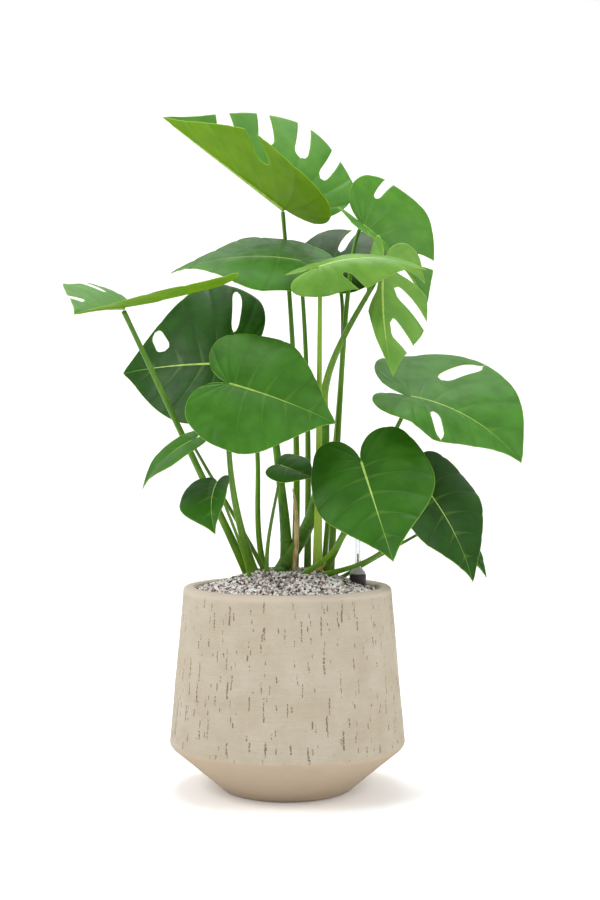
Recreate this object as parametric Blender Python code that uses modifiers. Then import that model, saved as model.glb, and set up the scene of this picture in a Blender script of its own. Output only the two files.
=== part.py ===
"""Potted split-leaf plant: fibre-clay pot, mineral substrate, stems, leaves and a water gauge.

Units are metres, +Z is up, and the origin is the middle of the pot's flat base.
Plant sizes are written in millimetres and degrees, and MM turns them into metres.
"""

import math
from dataclasses import dataclass

import bmesh
import bpy
from mathutils import Vector

MM = 0.001

# Driving dimensions
POT_HEIGHT = 0.300
POT_BELLY_DIAMETER = 0.350
POT_RIM_DIAMETER = 0.310
POT_BASE_DIAMETER = 0.206
POT_BELLY_HEIGHT = 0.070
POT_WALL = 0.018
POT_FLOOR = 0.022
LIP_RADIUS = 0.006
SUBSTRATE_EDGE = 0.293  # height of the substrate where it meets the wall
SUBSTRATE_PEAK = 0.321  # height of the heap around the stems
LEAF_THICKNESS = 0.0014
GAP = 0.0004  # clearance between touching pieces
BURIED = 0.024  # how far each stem goes down into the substrate

# Water gauge
GAUGE_X, GAUGE_Y = 0.105, -0.004
GAUGE_CAP_RADIUS = 0.0125
GAUGE_CAP_BOTTOM = 0.297
GAUGE_CAP_HEIGHT = 0.020
GAUGE_SHOULDER_HEIGHT = 0.009
GAUGE_TUBE_RADIUS = 0.0042
GAUGE_TUBE_HEIGHT = 0.078
GAUGE_STEM_RADIUS = 0.008
GAUGE_STEM_BOTTOM = 0.060

STEM_SIDES_RESOLUTION = 2
STEM_POINTS = 9
VEIN_FAN = 0.34  # share of each half margin whose veins start at the stalk
LEAF_TIP = 0.14  # share of a leaf's length taken by its drip tip

# Plant
BLADE_SPAN = 200  # length of a full-grown blade in millimetres
STALK_DROP = 6  # how far below the blade its stalk ends, in millimetres
SLOT_GAP = 0.030  # half width of a split, as a share of the margin
FIRST_SPLIT, LONE_SPLIT, LAST_SPLIT = 0.42, 0.60, 0.82  # places along the margin


@dataclass(frozen=True)
class Slot:
    """A split between two lobes: where it meets the margin, where it starts and its half width."""

    margin: float
    start: float
    gap: float = SLOT_GAP
    flare: float = -0.3


@dataclass(frozen=True)
class Growth:
    """The outline that leaves of one age share, as shares of the blade's length, and its mesh."""

    half_width: float
    lobe: float
    widest: float
    lean: float
    columns: int
    rows: int


SPLIT = Growth(half_width=0.60, lobe=0.30, widest=0.25, lean=2.4, columns=14, rows=5)
HEART = Growth(half_width=0.52, lobe=0.28, widest=0.25, lean=1.6, columns=12, rows=4)
YOUNG = Growth(half_width=0.36, lobe=0.18, widest=0.30, lean=1.6, columns=8, rows=4)


@dataclass(frozen=True)
class Leaf:
    """One leaf: its age, where the stalk joins it (millimetres) and how it hangs (degrees).

    Aim is heading, pitch and roll. Size is a share of a full-grown blade and spread of its
    growth's half width. Pairs are (left half, right half) as seen from above, along the midrib.
    """

    name: str
    growth: Growth
    joint: tuple
    aim: tuple
    size: float
    spread: tuple = (1.0, 1.0)
    splits: tuple = (0, 0)
    depth: float = 0.5
    gap: float = SLOT_GAP
    bend: float = 20.0
    sway: float = 0.0
    fold: tuple = (8.0, 8.0)
    curl: tuple = (-20.0, -20.0)
    twist: float = 0.0

    @property
    def length(self):
        """Length of the blade along its midrib."""
        return BLADE_SPAN * self.size

    @property
    def half_width(self):
        """Width of each half."""
        return tuple(self.growth.half_width * self.length * share for share in self.spread)

    @property
    def lobe(self):
        """How far the basal lobes reach behind the stalk."""
        return self.growth.lobe * self.length

    @property
    def slots(self):
        """The splits of each half, evenly spaced along its margin."""
        halves = []
        for count in self.splits:
            step = (LAST_SPLIT - FIRST_SPLIT) / max(1, count - 1)
            places = [FIRST_SPLIT + step * i for i in range(count)] if count != 1 else [LONE_SPLIT]
            halves.append(tuple(Slot(place, 1 - self.depth, self.gap) for place in places))
        return tuple(halves)


@dataclass(frozen=True)
class Stem:
    """One limb as a single curve: root, two handles and end, with its radii (all millimetres)."""

    name: str
    path: tuple
    root_radius: float
    end_radius: float


@dataclass(frozen=True)
class Stalk:
    """One leaf's stalk: where it leaves the substrate and how it bows off the straight line.

    Low and high move its two handles off the thirds of that line. All are millimetres.
    """

    leaf: str
    root: tuple
    root_radius: float
    end_radius: float
    low: tuple = (0, 0, 0)
    high: tuple = (0, 0, 0)


LEAVES = (
    Leaf("leaf_top", SPLIT, (-5, 100, 880), (180, 37, -10), 1.20, spread=(1.1, 1.2), splits=(1, 4),
         depth=0.45, bend=0, fold=(25, 55), curl=(0, -20)),
    Leaf("leaf_back_centre", HEART, (20, 0, 785), (190, 10, -15), 1.00, spread=(0.95, 1.05), bend=35,
         sway=-15, fold=(0, 10), curl=(-50, 0)),
    Leaf("leaf_centre", SPLIT, (45, -120, 760), (0, 20, 25), 0.80, spread=(0.55, 0.55), splits=(0, 1),
         depth=0.6, bend=45, fold=(0, -10), curl=(-25, -75)),
    Leaf("leaf_right_upper", SPLIT, (115, 35, 845), (10, -35, 15), 0.80, spread=(1.1, 0.55), splits=(2,
         0), bend=30, fold=(60, 0)),
    Leaf("leaf_hanging", SPLIT, (140, -50, 770), (260, -60, -15), 0.95, spread=(0.75, 0.2), splits=(3,
         1), depth=0.8, gap=0.045, bend=0, sway=15, fold=(-15, -5), curl=(-30, -30)),
    Leaf("leaf_back_right", SPLIT, (65, 110, 790), (0, 10, 15), 0.65, spread=(1.3, 0.7), splits=(1, 0),
         depth=0.7, fold=(35, -25), curl=(-15, -40)),
    Leaf("leaf_left", SPLIT, (-225, -150, 700), (245, -5, -10), 0.60, spread=(2.7, 1.1), splits=(0, 2),
         bend=10, fold=(20, 30), curl=(0, -25)),
    Leaf("leaf_front_heart", HEART, (-80, -130, 595), (-10, -15, 55), 0.80, spread=(1.25, 1.25),
         curl=(-25, -25)),
    Leaf("leaf_back_left", SPLIT, (-95, 60, 635), (175, 0, -80), 0.95, spread=(0.85, 1.4), splits=(0,
         2), depth=0.65, bend=40, fold=(10, -10), curl=(-5, -25)),
    Leaf("leaf_curled_left", YOUNG, (-135, -110, 515), (195, -25, -25), 0.50, spread=(1.4, 0.6),
         bend=45, fold=(30, 20), curl=(-35, -25)),
    Leaf("leaf_small_left", YOUNG, (-100, -100, 455), (255, -30, 10), 0.50, spread=(0.6, 1.4), bend=35,
         sway=20),
    Leaf("leaf_small_centre", YOUNG, (-10, -60, 480), (325, -15, 35), 0.32, spread=(1.4, 1.4), bend=5),
    Leaf("leaf_right", SPLIT, (180, -60, 580), (0, -10, 20), 0.95, spread=(1.5, 0.8), splits=(1, 1),
         depth=0.6, bend=35, sway=-30, fold=(10, 10), curl=(-10, -40), twist=20),
    Leaf("leaf_lower_right", HEART, (105, -120, 485), (290, -50, 25), 0.86, spread=(1.05, 0.9), bend=0,
         curl=(-30, -30)),
    Leaf("leaf_lower_right_back", HEART, (200, -40, 450), (340, -50, 25), 0.80, spread=(1.2, 0.95),
         bend=30),
    Leaf("leaf_small_right", YOUNG, (235, 60, 395), (320, -35, -5), 0.60),
)

STALKS = (
    Stalk("leaf_top", (10, 45), 7.0, 3.2, low=(15, 15, 0), high=(10, 10, 0)),
    Stalk("leaf_back_centre", (30, 60), 6.5, 3.0, low=(5, 0, 0), high=(10, 0, 0)),
    Stalk("leaf_centre", (45, -10), 7.5, 3.0),
    Stalk("leaf_right_upper", (65, 45), 6.5, 3.0, low=(-5, 0, 0), high=(-10, -5, 150)),
    Stalk("leaf_hanging", (55, 20), 7.5, 3.4, low=(-30, 15, 0), high=(-10, 0, 0)),
    Stalk("leaf_back_right", (55, 65), 5.0, 2.8, low=(5, 0, 0), high=(50, 10, 150)),
    Stalk("leaf_left", (-60, 10), 7.5, 3.5),
    Stalk("leaf_front_heart", (-50, -10), 8.0, 3.0, low=(-20, 0, 0), high=(-20, 0, 0)),
    Stalk("leaf_back_left", (-35, 20), 5.5, 3.0, low=(-10, 10, 0), high=(60, 0, 0)),
    Stalk("leaf_curled_left", (-35, 5), 4.2, 2.2, low=(0, 40, 0)),
    Stalk("leaf_small_left", (-55, -35), 3.6, 2.0, low=(5, 0, 0), high=(5, 0, -10)),
    Stalk("leaf_small_centre", (-30, -35), 3.8, 2.0, low=(-10, 0, 0)),
    Stalk("leaf_right", (55, 10), 6.5, 3.0),
    Stalk("leaf_lower_right", (25, -40), 4.6, 2.6, low=(15, 0, -25), high=(20, 0, -50)),
    Stalk("leaf_lower_right_back", (55, -20), 4.8, 2.6, low=(0, 0, -30), high=(20, 0, -60)),
    Stalk("leaf_small_right", (80, 25), 3.6, 2.2),
)

BRANCH_LEAF = "leaf_hanging"  # its stalk grows on top of the thick stem
MAIN_STEM = Stem("main_stem", ((-12, -12, 319), (18, -6, 372), (60, 16, 400), (54, 20, 560)), 11.5, 8.5)
SIDE_STEM = Stem("side_stem", ((-2, -4, 321), (0, -2, 372), (-6, 0, 420), (-22, 4, 546)), 12.0, 5.0)
STUB = Stem("stub", ((-6, -14, 312), (-8, -20, 316), (-9, -26, 320), (-10, -32, 325)), 8.5, 7.5)


def clear_scene():
    """Remove every object the file opened with."""
    for leftover in list(bpy.data.objects):
        bpy.data.objects.remove(leftover, do_unlink=True)


def principled(name, color, roughness, metallic=0.0):
    """Return a Principled material with one colour, roughness and metallic value."""
    material = bpy.data.materials.new(name)
    material.use_nodes = True
    shader = material.node_tree.nodes["Principled BSDF"]
    shader.inputs["Base Color"].default_value = (*color, 1.0)
    shader.inputs["Roughness"].default_value = roughness
    shader.inputs["Metallic"].default_value = metallic
    material.diffuse_color = (*color, 1.0)
    return material


def new_object(name, data, collection):
    """Link a new object holding the given mesh or curve."""
    piece = bpy.data.objects.new(name, data)
    collection.objects.link(piece)
    return piece


def finish(piece, material):
    """Give the piece its material and smooth its round faces."""
    piece.data.materials.append(material)
    if piece.type == "MESH":
        piece.data.shade_smooth()


# Turned pieces


def turned(name, profile, collection, steps=48, x=0.0, y=0.0, ring=False):
    """Turn a profile of (radius, height) points, given down its outer side; a ring's is closed."""
    mesh = bpy.data.meshes.new(name)
    points = [(radius, 0.0, height) for radius, height in profile]
    edges = [(i, i + 1) for i in range(len(points) - 1)]
    if ring:
        edges.append((len(points) - 1, 0))
    mesh.from_pydata(points, edges, [])
    piece = new_object(name, mesh, collection)
    screw = piece.modifiers.new("turn", "SCREW")
    screw.axis = "Z"
    screw.steps = screw.render_steps = steps
    screw.use_merge_vertices = True
    screw.merge_threshold = 0.00002
    piece.location = (x, y, 0.0)
    return piece


def arc(center, radius, start, end, count):
    """Points on an arc in the profile plane, angles in degrees."""
    step = (end - start) / (count - 1)
    angles = [math.radians(start + step * i) for i in range(count)]
    return [(center[0] + radius * math.cos(a), center[1] + radius * math.sin(a)) for a in angles]


def inner_radius(height):
    """Radius of the pot's cavity at a height."""
    belly = POT_BELLY_DIAMETER / 2 - POT_WALL
    rim = POT_RIM_DIAMETER / 2 - POT_WALL
    base = POT_BASE_DIAMETER / 2 - 0.006
    if height >= POT_BELLY_HEIGHT:
        share = (height - POT_BELLY_HEIGHT) / (POT_HEIGHT - LIP_RADIUS - POT_BELLY_HEIGHT)
        return belly + (rim - belly) * share
    share = (height - POT_FLOOR) / (POT_BELLY_HEIGHT - POT_FLOOR)
    return base + (belly - base) * share


def make_pot(collection, material):
    """The tapered pot: rounded lip, a crease at the belly and a chamfered foot."""
    rim, belly, base = POT_RIM_DIAMETER / 2, POT_BELLY_DIAMETER / 2, POT_BASE_DIAMETER / 2
    foot = 0.010
    lip = LIP_RADIUS
    profile = [(0.0, POT_FLOOR), (inner_radius(POT_FLOOR), POT_FLOOR),
               (inner_radius(POT_BELLY_HEIGHT), POT_BELLY_HEIGHT)]
    profile += arc((rim - POT_WALL + lip, POT_HEIGHT - lip), lip, 180, 90, 4)
    profile += arc((rim - lip, POT_HEIGHT - lip), lip, 90, 10, 4)
    profile += [(belly - 0.0015, POT_BELLY_HEIGHT + 0.006), (belly, POT_BELLY_HEIGHT),
                (belly - 0.004, POT_BELLY_HEIGHT - 0.007)]
    profile += arc((base - foot, foot), foot, -35, -90, 4)
    profile.append((0.0, 0.0))
    pot = turned("pot", profile, collection)
    finish(pot, material)


def heap_height(radius):
    """Height of the substrate surface at a distance from the pot's axis."""
    share = min(1.0, max(0.0, (radius - 0.050) / 0.085))
    return SUBSTRATE_PEAK + (SUBSTRATE_EDGE - SUBSTRATE_PEAK) * share ** 0.9


def make_substrate(collection, cutters, material):
    """The body of mineral granules, with a socket for every stem and for the gauge."""
    wall = [(inner_radius(h) - GAP * 1.5, h) for h in (SUBSTRATE_EDGE, POT_BELLY_HEIGHT, POT_FLOOR + GAP)]
    radii = [inner_radius(SUBSTRATE_EDGE) * share for share in (0.85, 0.70, 0.55, 0.40)]
    top = [(radius, heap_height(radius)) for radius in reversed(radii)]
    profile = [(0.0, SUBSTRATE_PEAK + 0.001)] + top + wall + [(0.0, POT_FLOOR + GAP)]
    substrate = turned("substrate", profile, collection)
    for cutter in cutters:
        cut = substrate.modifiers.new("socket", "BOOLEAN")
        cut.operation = "DIFFERENCE"
        cut.object = cutter
    finish(substrate, material)


# Stems


def stalk_stem(stalk, leaf):
    """The curve of a leaf's stalk, from its root to just below the blade."""
    across = math.hypot(*stalk.root) * MM
    root = Vector((*stalk.root, heap_height(across) / MM))
    if leaf.name == BRANCH_LEAF:
        root = Vector(MAIN_STEM.path[-1]) + Vector((0, 0, STALK_DROP))
    end = Vector(leaf.joint) - leaf_axes(leaf)[2] * STALK_DROP
    low = root.lerp(end, 1 / 3) + Vector(stalk.low)
    high = root.lerp(end, 2 / 3) + Vector(stalk.high)
    name = leaf.name.replace("leaf", "petiole")
    return Stem(name, (root, low, high, end), stalk.root_radius, stalk.end_radius)


def bezier(points, share):
    """Point on a cubic curve."""
    a, b, c, d = (Vector(p) for p in points)
    rest = 1.0 - share
    return a * rest ** 3 + b * 3 * rest ** 2 * share + c * 3 * rest * share ** 2 + d * share ** 3


def stem_stations(stem, buried):
    """Centre points and radii along a stem, from below the substrate to its end."""
    count = STEM_POINTS
    points = [bezier(stem.path, i / (count - 1)) for i in range(count)]
    radii = [stem.root_radius + (stem.end_radius - stem.root_radius) * (i / (count - 1)) ** 0.6
             for i in range(count)]
    if buried:
        down = points[0].copy()
        down.z -= BURIED / MM
        down.x *= 0.94
        down.y *= 0.94
        points.insert(0, down)
        radii.insert(0, stem.root_radius * 0.95)
    return points, radii


def tube(name, points, radii, collection):
    """A tapered tube with filled caps along millimetre points."""
    curve = bpy.data.curves.new(name, "CURVE")
    curve.dimensions = "3D"
    curve.bevel_depth = MM
    curve.bevel_resolution = STEM_SIDES_RESOLUTION
    curve.use_fill_caps = True
    spline = curve.splines.new("POLY")
    spline.points.add(len(points) - 1)
    for place, point, radius in zip(spline.points, points, radii):
        place.co = (*(point * MM), 1.0)
        place.radius = radius
    return new_object(name, curve, collection)


def as_mesh(piece, collection):
    """Replace a curve by its welded mesh, so it can be joined or can cut."""
    graph = bpy.context.evaluated_depsgraph_get()
    mesh = bpy.data.meshes.new_from_object(piece.evaluated_get(graph))
    work = bmesh.new()
    work.from_mesh(mesh)
    bmesh.ops.remove_doubles(work, verts=work.verts, dist=0.00001)
    bmesh.ops.recalc_face_normals(work, faces=work.faces)
    work.to_mesh(mesh)
    work.free()
    name = piece.name
    matrix = piece.matrix_world.copy()
    bpy.data.objects.remove(piece, do_unlink=True)
    solid = new_object(name, mesh, collection)
    solid.matrix_world = matrix
    return solid


def socket_cutter(stem, collection):
    """A slightly fatter copy of a stem's buried end, which cuts its socket."""
    points, radii = stem_stations(stem, buried=stem is not STUB)
    clear = GAP / MM
    if stem is not STUB:
        points, radii = points[:4], radii[:4]
    radii = [radius + clear for radius in radii]
    points[0] = points[0] + (points[0] - points[1]).normalized() * clear
    points[-1] = points[-1] + (points[-1] - points[-2]).normalized() * clear
    cutter = as_mesh(tube("socket_" + stem.name, points, radii, collection), collection)
    cutter.hide_render = True
    cutter.display_type = "WIRE"
    return cutter


def make_stems(stems, collection, material):
    """Every leaf stalk; the one on the thick stem starts on its top."""
    for stem in stems:
        points, radii = stem_stations(stem, buried=BRANCH_LEAF[5:] not in stem.name)
        piece = tube(stem.name, points, radii, collection)
        finish(piece, material)


def make_rootstock(collection, cutters, material):
    """The slanting rootstock: thick stem, side stem and the cut stub, grown as one."""
    points, radii = stem_stations(MAIN_STEM, buried=True)
    rootstock = as_mesh(tube("rootstock", points, radii, collection), collection)
    for stem in (SIDE_STEM, STUB):
        points, radii = stem_stations(stem, buried=stem is SIDE_STEM)
        joined = as_mesh(tube("join_" + stem.name, points, radii, cutters), cutters)
        joined.hide_render = True
        joined.display_type = "WIRE"
        union = rootstock.modifiers.new("grown_together", "BOOLEAN")
        union.operation = "UNION"
        union.object = joined
    finish(rootstock, material)


# Leaves


def half_outline(leaf, side, count=48):
    """Points of one half margin, from the stalk round the basal lobe to the tip, evenly spaced."""
    length, width, lobe = leaf.length, leaf.half_width[side], leaf.lobe
    widest = leaf.growth.widest * length
    shoulder = (-0.62 * lobe, 0.80 * width)
    neck = (length * (1 - LEAF_TIP * 0.35), 0.07 * width)
    pieces = (
        ((0, 0), (-1.05 * lobe, 0.02 * width), (-1.30 * lobe, 0.62 * width), shoulder),
        (shoulder, (-0.25 * lobe, 0.91 * width), (widest - 0.20 * length, width), (widest, width)),
        ((widest, width), (widest + 0.28 * length, width),
         (length * (1 - LEAF_TIP * 1.6), 0.26 * width), neck),
        (neck, (length * (1 - LEAF_TIP * 0.18), 0.035 * width), (length * 0.99, 0.01 * width),
         (length, 0)),
    )
    raw = [Vector((0.0, 0.0))]
    for piece in pieces:
        corners = [(*corner, 0.0) for corner in piece]
        raw += [bezier(corners, i / count).xy for i in range(1, count + 1)]
    return raw


def along(points, share):
    """Point at a share of a polyline's length."""
    lengths = [0.0]
    for a, b in zip(points, points[1:]):
        lengths.append(lengths[-1] + (b - a).length)
    target = min(1.0, max(0.0, share)) * lengths[-1]
    for i in range(1, len(points)):
        if lengths[i] >= target:
            span = lengths[i] - lengths[i - 1]
            mix = (target - lengths[i - 1]) / span if span else 0.0
            return points[i - 1].lerp(points[i], mix)
    return points[-1].copy()


def blade_point(leaf, outline, margin, reach):
    """Flat leaf point on the vein that ends at a margin share, at a share of its length."""
    end = along(outline, margin)
    origin = leaf.length * max(0.0, (margin - VEIN_FAN) / (1 - VEIN_FAN)) ** leaf.growth.lean
    start = Vector((origin, 0.0))
    chord = end - start
    side = Vector((-chord.y, chord.x))
    control = start + chord * 0.55 + side * 0.12 * (1 - abs(2 * margin - 1) * 0.6)
    rest = 1 - reach
    return start * rest ** 2 + control * 2 * rest * reach + end * reach ** 2


def leaf_axes(leaf):
    """Direction of the midrib, the left side and the upper face where the stalk joins."""
    heading, pitch, roll = (math.radians(angle) for angle in leaf.aim)
    ahead = Vector((math.cos(heading) * math.cos(pitch), math.sin(heading) * math.cos(pitch),
                    math.sin(pitch)))
    level = Vector((-math.sin(heading), math.cos(heading), 0.0))
    over = ahead.cross(level)
    left = level * math.cos(roll) + over * math.sin(roll)
    up = over * math.cos(roll) - level * math.sin(roll)
    return ahead, left, up


def midrib(leaf, distance):
    """Centre, left and up directions on the bent midrib at a signed distance from the stalk."""
    ahead, left, up = leaf_axes(leaf)
    steps = 24
    centre = Vector((0.0, 0.0, 0.0))
    if distance < 0:
        return ahead * distance, left, up
    share = min(1.0, distance / leaf.length)
    for i in range(steps):
        part = share * (i + 0.5) / steps
        drop, turn = -math.radians(leaf.bend) * part, math.radians(leaf.sway) * part
        step = ahead * math.cos(drop) * math.cos(turn) + left * math.cos(drop) * math.sin(turn)
        centre += (step + up * math.sin(drop)) * (distance / steps)
    drop, turn = -math.radians(leaf.bend) * share, math.radians(leaf.sway) * share
    tangent = ahead * math.cos(drop) * math.cos(turn) + left * math.cos(drop) * math.sin(turn)
    tangent += up * math.sin(drop)
    over = up * math.cos(drop) - ahead * math.sin(drop) * math.cos(turn)
    over -= left * math.sin(drop) * math.sin(turn)
    side = over.cross(tangent)
    twist = math.radians(leaf.twist) * share
    return (centre, side * math.cos(twist) + over * math.sin(twist),
            over * math.cos(twist) - side * math.sin(twist))


def in_space(leaf, side, flat):
    """Carry a flat leaf point onto the folded, curled and bent blade."""
    centre, left, up = midrib(leaf, flat.x)
    reach = abs(flat.y)
    fold = math.radians(leaf.fold[side])
    turn = math.radians(leaf.curl[side]) / leaf.half_width[side]
    if abs(turn) < 1e-9:
        out, rise = math.cos(fold) * reach, math.sin(fold) * reach
    else:
        end = fold + turn * reach
        out = (math.sin(end) - math.sin(fold)) / turn
        rise = (math.cos(fold) - math.cos(end)) / turn
    hand = 1 if side == 0 else -1
    return Vector(leaf.joint) + centre + left * (hand * out) + up * rise


def slot_width(slot, reach):
    """Half width of a slot, as a share of the margin, at a share of the vein's length."""
    if slot is None or reach <= slot.start:
        return 0.0
    share = (reach - slot.start) / (1 - slot.start)
    rounding = 1 - (1 - min(1.0, share / 0.22)) ** 2
    return slot.gap * math.sqrt(rounding) * (1 + slot.flare * share)


def eased(share):
    """Smooth step from 0 to 1."""
    share = min(1.0, max(0.0, share))
    return share * share * (3 - 2 * share)


def lobe_patches(leaf, side):
    """Rows of points for each lobe of one half: a list of patches of columns."""
    slots = leaf.slots[side]
    outline = half_outline(leaf, side)
    limits = [0.0] + [slot.margin for slot in slots] + [1.0]
    stops = [round(leaf.growth.columns * limit) for limit in limits]
    for i in range(1, len(stops)):
        stops[i] = max(stops[i], stops[i - 1] + 2)
    stops[-1] = max(leaf.growth.columns, stops[-2] + 1)
    inner_row = max(1, leaf.growth.rows // 2)
    patches = []
    for k in range(len(slots) + 1):
        before = slots[k - 1] if k else None
        after = slots[k] if k < len(slots) else None
        span = stops[k + 1] - stops[k]
        patch = []
        for i in range(span + 1):
            share = i / span
            start = lobe_start(slots, limits, k, share)
            column = []
            for row in range(leaf.growth.rows + 1):
                if row <= inner_row:
                    reach = start * row / inner_row
                else:
                    reach = start + (1 - start) * (row - inner_row) / (leaf.growth.rows - inner_row)
                low = limits[k] + slot_width(before, reach)
                high = limits[k + 1] - slot_width(after, reach)
                even = (stops[k] + i) / stops[-1]
                margin = even + (low + (high - low) * share - even) * eased(reach / (0.7 * start))
                column.append(in_space(leaf, side, blade_point(leaf, outline, margin, reach)))
            patch.append(column)
        patches.append(patch)
    return patches


def lobe_start(slots, limits, k, share):
    """Share of the vein where the slots beside a lobe begin, blended across the lobe."""
    if not slots:
        return 0.5
    before = slots[max(0, k - 1)].start
    after = slots[min(k, len(slots) - 1)].start
    return before + (after - before) * share


def make_leaf(leaf, collection, material):
    """One blade: a hand-laid open sheet of lobes, given its thickness by Solidify."""
    work = bmesh.new()
    for side in (0, 1):
        for patch in lobe_patches(leaf, side):
            rows = [[work.verts.new(point * MM) for point in column] for column in patch]
            for a, b in zip(rows, rows[1:]):
                for i in range(len(a) - 1):
                    corners = (a[i], a[i + 1], b[i + 1], b[i])
                    work.faces.new(corners if side == 0 else corners[::-1])
    bmesh.ops.remove_doubles(work, verts=work.verts, dist=0.0001)
    bmesh.ops.triangulate(work, faces=work.faces)
    mesh = bpy.data.meshes.new(leaf.name)
    work.to_mesh(mesh)
    work.free()
    blade = new_object(leaf.name, mesh, collection)
    solid = blade.modifiers.new("thickness", "SOLIDIFY")
    solid.thickness = LEAF_THICKNESS
    solid.offset = 0.0
    finish(blade, material)


# Water gauge


def make_gauge(collection, material, clear_material, float_material):
    """Water gauge: dark housing, clear shoulder and sight tube, and the float's marker rod."""
    bottom = GAUGE_CAP_BOTTOM
    top = bottom + GAUGE_CAP_HEIGHT
    bore_floor = bottom + 0.004
    housing = turned("gauge_housing", [
        (0.0, bore_floor), (GAUGE_TUBE_RADIUS + GAP, bore_floor), (GAUGE_TUBE_RADIUS + GAP, top),
        (GAUGE_CAP_RADIUS - 0.001, top), (GAUGE_CAP_RADIUS, top - 0.001), (GAUGE_CAP_RADIUS, bottom),
        (GAUGE_STEM_RADIUS, bottom), (GAUGE_STEM_RADIUS, GAUGE_STEM_BOTTOM), (0.0, GAUGE_STEM_BOTTOM)],
        collection, 24, GAUGE_X, GAUGE_Y)
    finish(housing, material)
    foot = top + GAP
    shoulder = turned("gauge_shoulder", [
        (GAUGE_TUBE_RADIUS + GAP, foot + GAUGE_SHOULDER_HEIGHT),
        (GAUGE_TUBE_RADIUS + 0.0018, foot + GAUGE_SHOULDER_HEIGHT),
        (GAUGE_CAP_RADIUS - 0.0008, foot + 0.002), (GAUGE_CAP_RADIUS - 0.0008, foot),
        (GAUGE_TUBE_RADIUS + GAP, foot)], collection, 24, GAUGE_X, GAUGE_Y, ring=True)
    finish(shoulder, clear_material)
    base = bore_floor + GAP
    end = top + GAUGE_TUBE_HEIGHT
    radius, bore = GAUGE_TUBE_RADIUS, GAUGE_TUBE_RADIUS - 0.0009
    sight = turned("gauge_sight_tube", [
        (0.0, end), (radius * 0.6, end - 0.0004), (radius, end - 0.002), (radius, base),
        (bore, base), (bore, end - 0.003), (0.0, end - 0.003)], collection, 16, GAUGE_X, GAUGE_Y)
    finish(sight, clear_material)
    marker = turned("gauge_float_marker", [
        (0.0, base + 0.046), (0.0014, base + 0.0455), (0.0014, base + 0.0005), (0.0, base + 0.0005)],
        collection, 12, GAUGE_X, GAUGE_Y)
    finish(marker, float_material)


def gauge_cutter(collection):
    """Bore for the gauge's buried stem and the recess for its housing."""
    clear = GAP
    cutter = turned("socket_gauge", [
        (0.0, 0.36), (GAUGE_CAP_RADIUS + clear, 0.36),
        (GAUGE_CAP_RADIUS + clear, GAUGE_CAP_BOTTOM - clear),
        (GAUGE_STEM_RADIUS + clear, GAUGE_CAP_BOTTOM - clear),
        (GAUGE_STEM_RADIUS + clear, GAUGE_STEM_BOTTOM - clear), (0.0, GAUGE_STEM_BOTTOM - clear)],
        collection, 24, GAUGE_X, GAUGE_Y)
    cutter.hide_render = True
    cutter.display_type = "WIRE"
    return cutter


def main():
    """Build every piece of the plant and its pot."""
    clear_scene()
    parts = bpy.data.collections.new("potted_monstera")
    cutters = bpy.data.collections.new("cutters")
    bpy.context.scene.collection.children.link(parts)
    bpy.context.scene.collection.children.link(cutters)

    clay = principled("fibre_clay", (0.56, 0.50, 0.41), 0.85)
    gravel = principled("mineral_granules", (0.48, 0.45, 0.44), 0.90)
    stalk_green = principled("green_stalk", (0.19, 0.34, 0.05), 0.45)
    bark = principled("rootstock_skin", (0.12, 0.24, 0.06), 0.55)
    dark_plastic = principled("dark_plastic", (0.03, 0.02, 0.03), 0.35)
    clear_plastic = principled("clear_plastic", (0.85, 0.87, 0.88), 0.08)
    marker_plastic = principled("marker_plastic", (0.75, 0.60, 0.10), 0.40)

    stems = [stalk_stem(stalk, leaf) for stalk, leaf in zip(STALKS, LEAVES)]
    rooted = [stem for stem in stems if BRANCH_LEAF[5:] not in stem.name]
    sockets = [socket_cutter(stem, cutters) for stem in rooted + [MAIN_STEM, SIDE_STEM, STUB]]
    sockets.append(gauge_cutter(cutters))

    make_pot(parts, clay)
    make_substrate(parts, sockets, gravel)
    make_rootstock(parts, cutters, bark)
    make_stems(stems, parts, stalk_green)
    for leaf in LEAVES:
        blade_green = principled(leaf.name + "_green", (0.09, 0.27, 0.06), 0.40)
        make_leaf(leaf, parts, blade_green)
    make_gauge(parts, dark_plastic, clear_plastic, marker_plastic)


if __name__ == "__main__":
    main()
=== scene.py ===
"""Looks of a potted split-leaf plant: fibre-clay pot, mineral granules, stalks, leaves and gauge.

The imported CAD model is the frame, and every piece here rides on its one body.
Plant sizes are in millimetres and degrees, everything else is in metres, and +Z is up.
"""

from __future__ import annotations

import logging
import math
from dataclasses import dataclass, field
from enum import Enum

import bmesh
import bpy
import numpy as np
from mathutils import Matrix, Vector


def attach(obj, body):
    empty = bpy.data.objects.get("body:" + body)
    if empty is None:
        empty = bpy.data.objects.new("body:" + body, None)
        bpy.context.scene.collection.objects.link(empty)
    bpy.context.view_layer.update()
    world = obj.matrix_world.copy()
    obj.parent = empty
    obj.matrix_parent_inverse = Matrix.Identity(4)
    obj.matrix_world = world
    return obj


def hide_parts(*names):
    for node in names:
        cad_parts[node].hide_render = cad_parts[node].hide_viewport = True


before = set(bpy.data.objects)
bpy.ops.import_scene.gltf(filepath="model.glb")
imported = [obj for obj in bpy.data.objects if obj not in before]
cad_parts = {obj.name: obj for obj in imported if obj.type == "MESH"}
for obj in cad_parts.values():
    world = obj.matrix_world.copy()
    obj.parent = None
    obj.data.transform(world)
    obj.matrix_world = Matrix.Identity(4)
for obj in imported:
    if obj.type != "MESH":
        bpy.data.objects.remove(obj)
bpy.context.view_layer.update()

LOG = logging.getLogger("potted_plant")
MM = 0.001
BLADE_SPAN = 200  # length of a full-grown blade in millimetres
STALK_DROP = 6  # how far below the blade its stalk ends, in millimetres
SLOT_GAP = 0.030  # half width of a split, as a share of the margin
FIRST_SPLIT, LONE_SPLIT, LAST_SPLIT = 0.42, 0.60, 0.82  # places along the margin
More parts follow.
